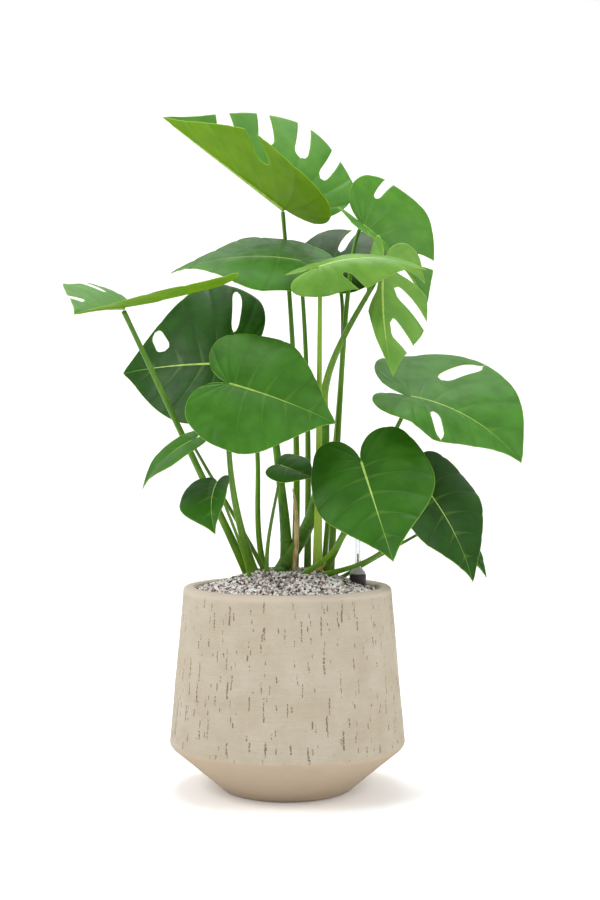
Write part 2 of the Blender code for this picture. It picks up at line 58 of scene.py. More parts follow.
BRANCH_LEAF = "leaf_hanging"  # its stalk grows on top of the thick stem
BODY = "root"

Nodes = bpy.types.NodeTree
Socket = bpy.types.NodeSocket
Array = np.ndarray
Pair = tuple[float, float]
Point = tuple[float, float, float]


# ---------------------------------------------------------------- materials


def linear(hex_color: str) -> tuple[float, float, float, float]:
    """Turn an sRGB hex colour to linear RGBA.

    Args:
        hex_color: six hex digits, such as "7f9a3c".

    Returns:
        The linear colour with alpha 1.
    """
    parts = [int(hex_color[i:i + 2], 16) / 255 for i in (0, 2, 4)]
    values = [p / 12.92 if p <= 0.04045 else ((p + 0.055) / 1.055) ** 2.4 for p in parts]
    return (*values, 1.0)


def scale_of(size_mm: float) -> float:
    """Pattern scale at which one blob or cell has a real size.

    Args:
        size_mm: size of the blob or cell in millimetres.

    Returns:
        The scale, in blobs per metre.
    """
    return 1.0 / (size_mm * MM)


def feed(node: bpy.types.Node, inputs: dict) -> None:
    """Set or link a node's inputs.

    Args:
        node: the node.
        inputs: input name or index to a constant, or to the socket that feeds it.
    """
    for key, value in inputs.items():
        if isinstance(value, Socket):
            node.id_data.links.new(value, node.inputs[key])
        else:
            node.inputs[key].default_value = value


def add_node(tree: Nodes, kind: str, inputs: dict | None = None, out: int | str = 0,
             **settings: object) -> Socket:
    """Add a shader node with its settings, constants and links.

    Args:
        tree: the node tree it goes in.
        kind: the node's type after "ShaderNode", such as "TexNoise".
        inputs: input name or index to a constant, or to the socket that feeds it.
        out: name or index of the output to hand back.
        settings: attributes of the node.

    Returns:
        The output socket, whose .node has the others.
    """
    node = tree.nodes.new("ShaderNode" + kind)
    for name, value in settings.items():
        setattr(node, name, value)
    feed(node, inputs or {})
    return node.outputs[out]


def new_material(name: str, roughness: float, ior: float = 1.45,
                 **sockets: float) -> tuple[bpy.types.Material, Nodes, bpy.types.Node]:
    """Start a Principled material.

    Args:
        name: the material's name.
        roughness: its plain roughness, used where no pattern drives it.
        ior: index of refraction.
        sockets: more constants, with underscores for spaces in the socket names.

    Returns:
        The material, its tree and its Principled node.
    """
    material = bpy.data.materials.new(name)
    material.use_nodes = True
    shader = material.node_tree.nodes["Principled BSDF"]
    feed(shader, {"Roughness": roughness, "IOR": ior})
    feed(shader, {key.replace("_", " "): value for key, value in sockets.items()})
    return material, material.node_tree, shader


@dataclass(frozen=True)
class Layer:
    """A tint over a finish, whose strength follows a pattern.

    Attributes:
        pattern: the pattern's socket.
        low: pattern value where the strength starts to change.
        high: pattern value where it stops.
        tint: sRGB hex colour.
        at_low: strength at and below low.
        at_high: strength at and above high.
        eased: whether the strength eases in and out.
    """

    pattern: Socket
    low: float
    high: float
    tint: str
    at_low: float = 0.0
    at_high: float = 1.0
    eased: bool = False


def layered(tree: Nodes, base: str, *layers: Layer) -> Socket:
    """Lay tints over a base colour, one after another.

    Args:
        tree: the node tree.
        base: sRGB hex colour under all the tints.
        layers: the tints, from the lowest to the topmost.

    Returns:
        The finished colour's socket.
    """
    color: object = linear(base)
    for layer in layers:
        strength = add_node(tree, "MapRange", {0: layer.pattern, 1: layer.low, 2: layer.high,
                                               3: layer.at_low, 4: layer.at_high},
                            interpolation_type="SMOOTHSTEP" if layer.eased else "LINEAR")
        color = add_node(tree, "Mix", {0: strength, 6: color, 7: linear(layer.tint)}, 2,
                         data_type="RGBA")
    return color


class BladeTone(Enum):
    """How old a blade is, and the painted light, sheen or shade in its greens: upper face, its deep
    green, underside, its deep green.
    """

    # every underside green is painted brighter than the pale underside alone, as painted light
    # shining through the blade
    MATURE = ("3f7322", "326018", "628a10", "507a0b")
    # greens painted lighter for blades in full light, with undersides painted brighter as light
    # shining through
    BRIGHT = ("4b7e24", "3d6f1d", "688f0a", "5b8507")
    SHADED = ("1f4a08", "173b05", "305c0a", "254c06")
    DEEP = ("2f6010", "24500b", "43720e", "356209")
    # upper greens painted pale as the sky's sheen on the glossy face, undersides painted bright as
    # light shining through
    SILVERY = ("668f38", "54802e", "7c9c30", "678a24")


@dataclass(frozen=True)
class BladeSkin:
    """Living leaf skin, grown: a waxy upper face over dense green tissue, a duller pale underside,
    whose greens are painted brighter to stand in for light shining through the blade.

    The wax gives soft broad highlights. The veins and the margin carry less green, so they are
    pale yellow-green, and the tissue between the veins bulges a little.
    """

    tone: BladeTone
    vein: str = "6f9838"
    margin: str = "8fb03c"
    roughness: float = 0.40
    gloss: Pair = (0.18, 0.08)  # specular level of the upper face and underside
    vein_share: Pair = (0.16, 0.28)  # how strongly the side veins show on each
    cloud_mm: float = 38.0  # drift between the two greens
    wax_mm: float = 22.0  # patches of thicker and thinner wax
    puff_mm: float = 9.0  # unevenness of the tissue
    cell_mm: float = 1.6  # blisters of the tissue, drawn coarser than real so that they show

    def face(self, name: str, side: int, light: str, deep: str,
             roughness: float) -> bpy.types.Material:
        """One face of the blade.

        Args:
            name: the material's name.
            side: 0 for the upper face and 1 for the underside.
            light: colour of the tissue beside the veins.
            deep: colour of the tissue between them.
            roughness: roughness of the wax.

        Returns:
            The material.
        """
        material, tree, shader = new_material(name, roughness, 1.42,
                                              Specular_IOR_Level=self.gloss[side])
        space = add_node(tree, "TexCoord", out="Object")
        clouds = add_node(tree, "TexNoise", {"Vector": space, "Scale": scale_of(self.cloud_mm),
                                             "Detail": 4.0, "Roughness": 0.55})
        off, gap, width, rib, rim = (
            add_node(tree, "Attribute", out="Fac", attribute_name=key)
            for key in ("vein_off", "vein_gap", "vein_width", "rib_off", "margin_mm"))
        away = add_node(tree, "Math", {0: off, 1: gap}, operation="MULTIPLY")
        line = add_node(tree, "Math", {0: away, 1: width}, operation="DIVIDE")
        color = layered(tree, light,
                        Layer(clouds, 0.36, 0.66, deep),
                        # painted shade: deeper green within 6 mm of each side vein, where the
                        # tissue dips into the vein's valley
                        Layer(away, 0.0, 6.0, deep, 0.45, 0.0, eased=True),
                        Layer(line, 0.3, 0.8, self.vein, self.vein_share[side], 0.0, eased=True),
                        Layer(rib, 0.5, 0.95, self.vein, 0.8, 0.0, eased=True),
                        Layer(rim, 0.3, 1.1, self.margin, 0.6, 0.0, eased=True))
        wax = add_node(tree, "TexNoise", {"Vector": space, "Scale": scale_of(self.wax_mm),
                                          "Detail": 3.0})
        dull = add_node(tree, "MapRange", {0: wax, 1: 0.35, 2: 0.65, 3: roughness - 0.05,
                                           4: roughness + 0.08})
        cells = add_node(tree, "TexNoise", {"Vector": space, "Scale": scale_of(self.cell_mm),
                                            "Detail": 2.0})
        puffs = add_node(tree, "TexNoise", {"Vector": space, "Scale": scale_of(self.puff_mm),
                                            "Detail": 2.0})
        fine = add_node(tree, "Bump", {"Height": cells, "Distance": 0.05 * MM})
        normal = add_node(tree, "Bump", {"Height": puffs, "Distance": 0.35 * MM, "Normal": fine})
        feed(shader, {"Base Color": color, "Roughness": dull, "Normal": normal})
        return material

    def materials(self, name: str) -> list[bpy.types.Material]:
        """Both faces of the blade.

        Args:
            name: the leaf's name.

        Returns:
            The upper face's material and the underside's.
        """
        upper, upper_deep, under, under_deep = self.tone.value
        return [self.face(name + "_upper_skin", 0, upper, upper_deep, self.roughness),
                self.face(name + "_underside_skin", 1, under, under_deep, self.roughness + 0.15)]


@dataclass(frozen=True)
class VeinSkin:
    """The raised rib under a blade, grown: pale, fibrous and slightly glossy."""

    color: str = "a2be58"
    shade: str = "86a744"
    streak_mm: float = 6.0
    fibre_mm: float = 1.5

    def material(self, name: str) -> bpy.types.Material:
        """The rib's material.

        Args:
            name: the material's name.

        Returns:
            The material.
        """
        material, tree, shader = new_material(name, 0.42, 1.42)
        space = add_node(tree, "TexCoord", out="Object")
        streaks = add_node(tree, "TexNoise", {"Vector": space, "Scale": scale_of(self.streak_mm),
                                              "Detail": 3.0})
        fibres = add_node(tree, "TexNoise", {"Vector": space, "Scale": scale_of(self.fibre_mm),
                                             "Detail": 3.0})
        feed(shader, {
            "Base Color": layered(tree, self.color, Layer(streaks, 0.35, 0.65, self.shade)),
            "Normal": add_node(tree, "Bump", {"Height": fibres, "Distance": 0.06 * MM})})
        return material


@dataclass(frozen=True)
class StalkSkin:
    """Living stalk skin, grown: smooth green with fine lengthwise fibres and tiny pale specks.

    It is paler and yellower low down, and paler on the side its groove faces, which is painted as
    its lit side; it has a waxy gloss.
    """

    high: str = "4c7a0a"
    low: str = "6f9a14"
    dark: str = "2b5408"
    # pale tint painted on the side the groove faces, standing in for light falling on that side
    groove: str = "8fb030"
    speck: str = "9dba4c"
    roughness: float = 0.38
    fibre_mm: float = 2.86
    blotch_mm: float = 60.0
    speck_mm: float = 3.2

    def material(self, name: str) -> bpy.types.Material:
        """The stalk's material.

        Args:
            name: the material's name.

        Returns:
            The material.
        """
        material, tree, shader = new_material(name, self.roughness, 1.42)
        space = add_node(tree, "TexCoord", out="Object")
        drawn_out = add_node(tree, "Mapping", {"Vector": space, "Scale": (1.0, 1.0, 0.06)})
        along, around = (add_node(tree, "Attribute", out="Fac", attribute_name=key)
                         for key in ("along", "around"))
        fibres = add_node(tree, "TexNoise", {"Vector": drawn_out, "Roughness": 0.6,
                                             "Scale": scale_of(self.fibre_mm), "Detail": 3.0})
        blotches = add_node(tree, "TexNoise", {"Vector": space, "Detail": 3.0,
                                               "Scale": scale_of(self.blotch_mm)})
        specks = add_node(tree, "TexVoronoi", {"Vector": space,
                                               "Scale": scale_of(self.speck_mm)}, "Distance")
        color = layered(tree, self.low,
                        Layer(along, 0.0, 0.7, self.high),
                        Layer(fibres, 0.45, 0.75, self.dark, 0.0, 0.5),
                        Layer(blotches, 0.4, 0.7, self.dark, 0.0, 0.35),
                        # painted light: the side the groove faces is tinted paler as the lit side
                        Layer(around, 0.55, 1.0, self.groove, 0.0, 0.35),
                        Layer(specks, 0.10, 0.20, self.speck, 0.35, 0.0))
        normal = add_node(tree, "Bump", {"Height": fibres, "Distance": 0.16 * MM})
        feed(shader, {"Base Color": color, "Normal": normal})
        return material


@dataclass(frozen=True)
class RootstockSkin:
    """The thick green stem, grown: leathery green skin with corky ring scars and pale flecks."""

    green: str = "5a8c1a"
    deep: str = "346410"
    scar: str = "6d7a34"
    blotch_mm: float = 18.0
    fleck_mm: float = 3.0

    def material(self, name: str) -> bpy.types.Material:
        """The thick stem's material.

        Args:
            name: the material's name.

        Returns:
            The material.
        """
        material, tree, shader = new_material(name, 0.45, 1.42)
        space = add_node(tree, "TexCoord", out="Object")
        drawn_out = add_node(tree, "Mapping", {"Vector": space, "Scale": (1.0, 1.0, 0.4)})
        blotches = add_node(tree, "TexNoise", {"Vector": space, "Detail": 4.0,
                                               "Scale": scale_of(self.blotch_mm)})
        flecks = add_node(tree, "TexNoise", {"Vector": drawn_out, "Detail": 2.0,
                                             "Scale": scale_of(self.fleck_mm)})
        ring = add_node(tree, "Attribute", out="Fac", attribute_name="ring")
        color = layered(tree, self.green,
                        Layer(blotches, 0.35, 0.65, self.deep),
                        Layer(ring, 0.25, 0.9, self.scar),
                        Layer(flecks, 0.62, 0.72, self.scar, 0.0, 0.6))
        normal = add_node(tree, "Bump", {"Height": flecks, "Distance": 0.25 * MM})
        feed(shader, {"Base Color": color, "Normal": normal})
        return material


@dataclass(frozen=True)
class PaperySheath:
    """A dry leaf sheath, withered: papery tan tissue with long dark fibres, quite matt."""

    light: str = "d3bd8c"
    dark: str = "8d6b3c"
    fibre_mm: float = 1.6
    cloud_mm: float = 14.0

    def material(self, name: str) -> bpy.types.Material:
        """The sheath's material.

        Args:
            name: the material's name.

        Returns:
            The material.
        """
        material, tree, shader = new_material(name, 0.75, 1.4)
        space = add_node(tree, "TexCoord", out="Object")
        drawn_out = add_node(tree, "Mapping", {"Vector": space, "Scale": (1.0, 1.0, 0.05)})
        fibres = add_node(tree, "TexNoise", {"Vector": drawn_out, "Roughness": 0.6,
                                             "Scale": scale_of(self.fibre_mm), "Detail": 3.0})
        clouds = add_node(tree, "TexNoise", {"Vector": space, "Scale": scale_of(self.cloud_mm),
                                             "Detail": 3.0})
        color = layered(tree, self.light,
                        Layer(fibres, 0.40, 0.70, self.dark),
                        Layer(clouds, 0.5, 0.75, self.dark, 0.0, 0.6))
        normal = add_node(tree, "Bump", {"Height": fibres, "Distance": 0.3 * MM})
        feed(shader, {"Base Color": color, "Normal": normal})
        return material


@dataclass(frozen=True)
class FibreClay:
    """Fibre clay, pressed and brushed: a matt stone-coloured skin over coarse clay.

    Brushing leaves fine level hairlines, and the fibres that burn out leave short upright
    cracks and pits, whose bottoms hold the darker clay.
    """

    skin: str = "aea696"
    warm: str = "a69c89"
    hairline: str = "a39176"
    speckle: str = "9c8768"
    crack: str = "6a5238"
    foot: str = "b39e86"
    lip: str = "b8ac9c"
    cloud_mm: float = 46.0
    hairline_mm: float = 2.2  # drawn coarser than the real brush marks, so that they show
    speckle_mm: float = 1.4
    crack_spacing_mm: float = 26.0
    crack_length_mm: float = 34.0
    wander_mm: float = 7.0  # size of the wobbles in a crack
    wander: float = 0.0026  # how far a crack wobbles aside, in metres
    crumb_mm: float = 3.0  # unbroken clay that bridges a crack
    bare: float = 0.42  # share of the cells that hold no crack

    def cracks(self, tree: Nodes, shift: float, spacing_mm: float, length_mm: float) -> Socket:
        """Upright broken cracks laid out round the wall, at most one in each cell.

        Args:
            tree: the node tree.
            shift: moves the pattern, so that two calls differ.
            spacing_mm: width of a crack's cell round the wall.
            length_mm: height of a crack's cell up the wall.

        Returns:
            A socket that is 1 in a crack and 0 elsewhere.
        """
        wall = add_node(tree, "UVMap", uv_map="wall")
        place = add_node(tree, "Mapping", {"Vector": wall,
                                           "Location": (shift, shift * 0.37, 0.0)})
        wobble = add_node(tree, "TexNoise", {"Vector": place, "Detail": 3.0,
                                             "Scale": scale_of(self.wander_mm)}, "Color")
        aside = add_node(tree, "VectorMath", {0: wobble, 1: (self.wander, 0.0, 0.0)},
                         operation="MULTIPLY")
        moved = add_node(tree, "VectorMath", {0: place, 1: aside}, operation="ADD")
        cells = add_node(tree, "Mapping", {
            "Vector": moved, "Scale": (scale_of(spacing_mm), scale_of(length_mm), 1.0)})
        middle = add_node(tree, "TexVoronoi", {"Vector": cells, "Scale": 1.0,
                                               "Randomness": 1.0}, "Position",
                          voronoi_dimensions="2D", distance="CHEBYCHEV")
        toward = add_node(tree, "VectorMath", {0: cells, 1: middle}, operation="SUBTRACT")
        east = add_node(tree, "SeparateXYZ", {0: toward})
        across = add_node(tree, "Math", {0: east}, operation="ABSOLUTE")
        up = add_node(tree, "Math", {0: east.node.outputs[1]}, operation="ABSOLUTE")
        chance = add_node(tree, "SeparateColor", {0: middle.node.outputs["Color"]})
        reach = add_node(tree, "MapRange", {0: chance, 1: 0.25, 2: 1.0, 3: 0.02, 4: 0.42})
        width = add_node(tree, "MapRange", {0: chance.node.outputs[1], 1: 0.0, 2: 1.0,
                                            3: 0.016, 4: 0.052})
        crumbs = add_node(tree, "TexNoise", {"Vector": moved, "Detail": 2.0,
                                             "Scale": scale_of(self.crumb_mm)})
        shown = add_node(tree, "Math", {0: across, 1: width}, operation="LESS_THAN")
        within = add_node(tree, "Math", {0: up, 1: reach}, operation="LESS_THAN")
        chosen = add_node(tree, "Math", {0: chance, 1: self.bare}, operation="GREATER_THAN")
        broken = add_node(tree, "MapRange", {0: crumbs, 1: 0.44, 2: 0.50})
        for limit in (within, chosen, broken):
            shown = add_node(tree, "Math", {0: shown, 1: limit}, operation="MULTIPLY")
        return shown

    def material(self, name: str, belly_z: float, rim_z: float) -> bpy.types.Material:
        """The pot's material.

        Args:
            name: the material's name.
            belly_z: height of the belly, below which the wall is smoother.
            rim_z: height of the rim.

        Returns:
            The material.
        """
        material, tree, shader = new_material(name, 0.86, 1.5)
        space = add_node(tree, "TexCoord", out="Object")
        level = add_node(tree, "Mapping", {"Vector": space, "Scale": (0.05, 0.05, 1.0)})
        height = add_node(tree, "SeparateXYZ", {0: space}, 2)
        clouds = add_node(tree, "TexNoise", {"Vector": space, "Scale": scale_of(self.cloud_mm),
                                             "Detail": 5.0, "Roughness": 0.6})
        brushed = add_node(tree, "TexNoise", {"Vector": level, "Detail": 3.0, "Roughness": 0.65,
                                              "Scale": scale_of(self.hairline_mm)})
        grain = add_node(tree, "TexNoise", {"Vector": space, "Detail": 2.0,
                                            "Scale": scale_of(self.speckle_mm)})
        upper = add_node(tree, "MapRange", {0: height, 1: belly_z - 0.002, 2: belly_z + 0.004})
        below_lip = add_node(tree, "MapRange", {0: height, 1: rim_z - 0.012, 2: rim_z - 0.007,
                                                3: 1.0, 4: 0.0})
        wall = add_node(tree, "Math", {0: upper, 1: below_lip}, operation="MULTIPLY")
        large = self.cracks(tree, 0.0, self.crack_spacing_mm, self.crack_length_mm)
        small = self.cracks(tree, 0.517, self.crack_spacing_mm * 0.8, self.crack_length_mm * 0.4)
        either = add_node(tree, "Math", {0: large, 1: small}, operation="MAXIMUM")
        shown = add_node(tree, "Math", {0: either, 1: wall}, operation="MULTIPLY")
        color = layered(tree, self.skin,
                        Layer(clouds, 0.38, 0.66, self.warm),
                        Layer(brushed, 0.35, 0.65, self.hairline, 0.22, 0.0),
                        Layer(grain, 0.56, 0.70, self.speckle, 0.0, 0.35),
                        Layer(upper, 0.0, 1.0, self.foot, 0.7, 0.0),
                        Layer(below_lip, 0.0, 1.0, self.lip, 0.75, 0.0),
                        Layer(shown, 0.0, 1.0, self.crack, 0.0, 0.8))
        whole = add_node(tree, "MapRange", {0: shown, 1: 0.0, 2: 1.0, 3: 1.0, 4: 0.0})
        normal = add_node(tree, "Bump", {"Height": whole, "Distance": 0.8 * MM})
        for pattern, depth_mm in ((brushed, 0.45), (grain, 0.40)):
            normal = add_node(tree, "Bump", {"Height": pattern, "Distance": depth_mm * MM,
                                             "Normal": normal})
        feed(shader, {"Base Color": color, "Normal": normal})
        return material


class GranuleKind(Enum):
    """Minerals in the substrate: colour, darker colour, share of all the granules."""

    PUMICE = ("f2efec", "d0cac5", 0.52)
    ZEOLITE = ("b4adaa", "8b8381", 0.20)
    ROSE_LAVA = ("c0a09a", "8d6e6a", 0.12)
    DARK_LAVA = ("5a4a52", "33292f", 0.16)


@dataclass(frozen=True)
class MineralGrain:
    """Crushed porous mineral, sieved to 3 to 5 mm: dull broken faces with small pores."""

    kind: GranuleKind
    tone_mm: float = 5.0
    pore_mm: float = 0.9

    def material(self, name: str) -> bpy.types.Material:
        """The granules' material.

        Args:
            name: the material's name.

        Returns:
            The material.
        """
        light, dark, _ = self.kind.value
        material, tree, shader = new_material(name, 0.9, 1.5)
        space = add_node(tree, "TexCoord", out="Object")
        tone = add_node(tree, "TexNoise", {"Vector": space, "Scale": scale_of(self.tone_mm),
                                           "Detail": 2.0})
        pores = add_node(tree, "TexNoise", {"Vector": space, "Scale": scale_of(self.pore_mm),
                                            "Detail": 2.0})
        feed(shader, {
            "Base Color": layered(tree, light, Layer(tone, 0.40, 0.62, dark)),
            "Normal": add_node(tree, "Bump", {"Height": pores, "Distance": 0.25 * MM})})
        return material


@dataclass(frozen=True)
class MouldedPlastic:
    """Injection-moulded plastic such as ABS: even colour, fine satin texture from the mould."""

    color: str
    roughness: float = 0.35
    transmission: float = 0.0
    flow_mm: float = 6.0  # faint paler streaks where the melt flowed
    texture_mm: float = 0.8

    def material(self, name: str) -> bpy.types.Material:
        """The plastic's material.

        Args:
            name: the material's name.

        Returns:
            The material.
        """
        material, tree, shader = new_material(name, self.roughness, 1.49,
                                              Transmission_Weight=self.transmission)
        space = add_node(tree, "TexCoord", out="Object")
        flow = add_node(tree, "TexNoise", {"Vector": space, "Scale": scale_of(self.flow_mm),
                                           "Detail": 2.0})
        share = add_node(tree, "MapRange", {0: flow, 1: 0.3, 2: 0.7, 3: 0.0, 4: 0.25})
        base = linear(self.color)
        paler = (*(min(1.0, part * 1.35 + 0.01) for part in base[:3]), 1.0)
        color = add_node(tree, "Mix", {0: share, 6: base, 7: paler}, 2, data_type="RGBA")
        texture = add_node(tree, "TexNoise", {"Vector": space, "Detail": 1.0,
                                              "Scale": scale_of(self.texture_mm)})
        normal = add_node(tree, "Bump", {"Height": texture, "Distance": 0.02 * MM})
        feed(shader, {"Base Color": color, "Normal": normal})
        return material


# ---------------------------------------------------------------- mesh helpers


def new_piece(name: str, points: Array, faces: list, materials: list[bpy.types.Material],
              values: dict[str, Array] | None = None) -> bpy.types.Object:
    """Make a mesh piece that rides on the plant's body.

    Args:
        name: the piece's name.
        points: points in metres.
        faces: lists of point numbers.
        materials: its materials in slot order.
        values: point attributes to store, by name.

    Returns:
        The new object.
    """
    mesh = bpy.data.meshes.new(name)
    mesh.from_pydata([tuple(p) for p in points], [], faces)
    for key, numbers in (values or {}).items():
        store = mesh.attributes.new(key, "FLOAT", "POINT")
        store.data.foreach_set("value", np.asarray(numbers, np.float32))
    for material in materials:
        mesh.materials.append(material)
    mesh.shade_smooth()
    piece = bpy.data.objects.new(name, mesh)
    bpy.context.scene.collection.objects.link(piece)
    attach(piece, BODY)
    return piece


def bezier(points: tuple[Point, ...] | tuple[Array, ...], shares: Array) -> Array:
    """Points on a cubic curve at several shares.

    Args:
        points: its four control points.
        shares: shares from 0 to 1.

    Returns:
        One row per share.
    """
    a, b, c, d = (np.asarray(p, float) for p in points)
    t = np.asarray(shares, float)[:, None]
    return a * (1 - t) ** 3 + b * 3 * (1 - t) ** 2 * t + c * 3 * (1 - t) * t ** 2 + d * t ** 3


def ring_faces(rings: int, sides: int, order: tuple[int, ...] = (0, 1, 2, 3)) -> list[list[int]]:
    """Quads between neighbouring closed rings of points.

    Args:
        rings: number of rings.
        sides: points in each ring.
        order: order of each quad's corners: here, beside, beside on the next ring, next ring.

    Returns:
        Lists of point numbers.
    """
    here = np.arange(rings * sides).reshape(rings, sides)
    beside = np.roll(here, -1, axis=1)
    corners = (here[:-1], beside[:-1], beside[1:], here[1:])
    return np.stack([corners[i] for i in order], -1).reshape(-1, 4).tolist()


def eased(share: Array) -> Array:
    """Smooth step from 0 to 1.

    Args:
        share: values, clipped to 0 to 1.

    Returns:
        The eased values.
    """
    share = np.clip(share, 0.0, 1.0)
    return share * share * (3 - 2 * share)


def unit(vectors: Array) -> Array:
    """Vectors made one long."""
    return vectors / np.maximum(np.linalg.norm(vectors, axis=-1, keepdims=True), 1e-12)


def carried_frames(path: Array) -> tuple[Array, Array, Array]:
    """Directions along a path that don't spin about it.

    Args:
        path: points along the path.

    Returns:
        Tangents and two directions across the path at each point.
    """
    tangents = unit(np.gradient(path, axis=0))
    across = np.zeros_like(path)
    start = np.array([0.0, 1.0, 0.0])
    across[0] = unit(start - tangents[0] * (start @ tangents[0]))
    for i in range(1, len(path)):
        carried = across[i - 1] - tangents[i] * (across[i - 1] @ tangents[i])
        across[i] = unit(carried)
    return tangents, across, np.cross(tangents, across)


def swept(path: Array, radii: Array, sides: int, shape: Array | None = None
          ) -> tuple[Array, list, Array, Array]:
    """A closed tube with rounded ends along a path.

    Args:
        path: points along the middle, in any unit.
        radii: radius at each point.
        sides: points round the tube.
        shape: radius factors, one row per path point and one column per side.

    Returns:
        Points, faces, share along the path and angle number of each point.
    """
    _, across, over = carried_frames(path)
    angles = np.arange(sides) * 2 * math.pi / sides
    factors = np.ones((len(path), sides)) if shape is None else shape
    ring = np.cos(angles)[None, :, None] * across[:, None] + \
        np.sin(angles)[None, :, None] * over[:, None]
    points = path[:, None] + ring * (radii[:, None] * factors)[..., None]
    count = len(path)
    faces = ring_faces(count, sides)
    flat = points.reshape(-1, 3)
    first, last = len(flat), len(flat) + 1
    lead = unit(path[0] - path[1]) * radii[0] * 0.35
    tail = unit(path[-1] - path[-2]) * radii[-1] * 0.35
    flat = np.vstack([flat, path[0] + lead, path[-1] + tail])
    for j in range(sides):
        k = (j + 1) % sides
        faces.append((first, k, j))
        faces.append((last, (count - 1) * sides + j, (count - 1) * sides + k))
    along = np.concatenate([np.repeat(np.linspace(0, 1, count), sides), [0.0, 1.0]])
    around = np.concatenate([np.tile(np.arange(sides), count), [0, 0]])
    return flat, faces, along, around


# ---------------------------------------------------------------- leaves


@dataclass(frozen=True)
class Slot:
    """A split between two lobes.

    Attributes:
        margin: where it lies along the half margin, 0 at the stalk and 1 at the tip.
        start: where it starts, as a share of its vein's length.
        gap: its half width, as a share of the margin.
        flare: how much wider its outer end is than its inner end.
        end: where it ends; under 1 a bridge of tissue closes it at the margin.
    """

    margin: float
    start: float
    gap: float = SLOT_GAP
    flare: float = -0.3
    end: float = 1.0


@dataclass(frozen=True)
class Growth:
    """The outline that leaves of one age share, as shares of the blade's length.

    Attributes:
        half_width: width of one half.
        lobe: how far the basal lobe reaches behind the stalk.
        widest: where along the midrib the blade is widest.
        lean: how strongly the side veins leave the midrib near its foot.
    """

    half_width: float
    lobe: float
    widest: float
    lean: float


SPLIT = Growth(half_width=0.60, lobe=0.30, widest=0.25, lean=2.4)
HEART = Growth(half_width=0.52, lobe=0.28, widest=0.25, lean=1.6)
YOUNG = Growth(half_width=0.36, lobe=0.18, widest=0.30, lean=1.6)


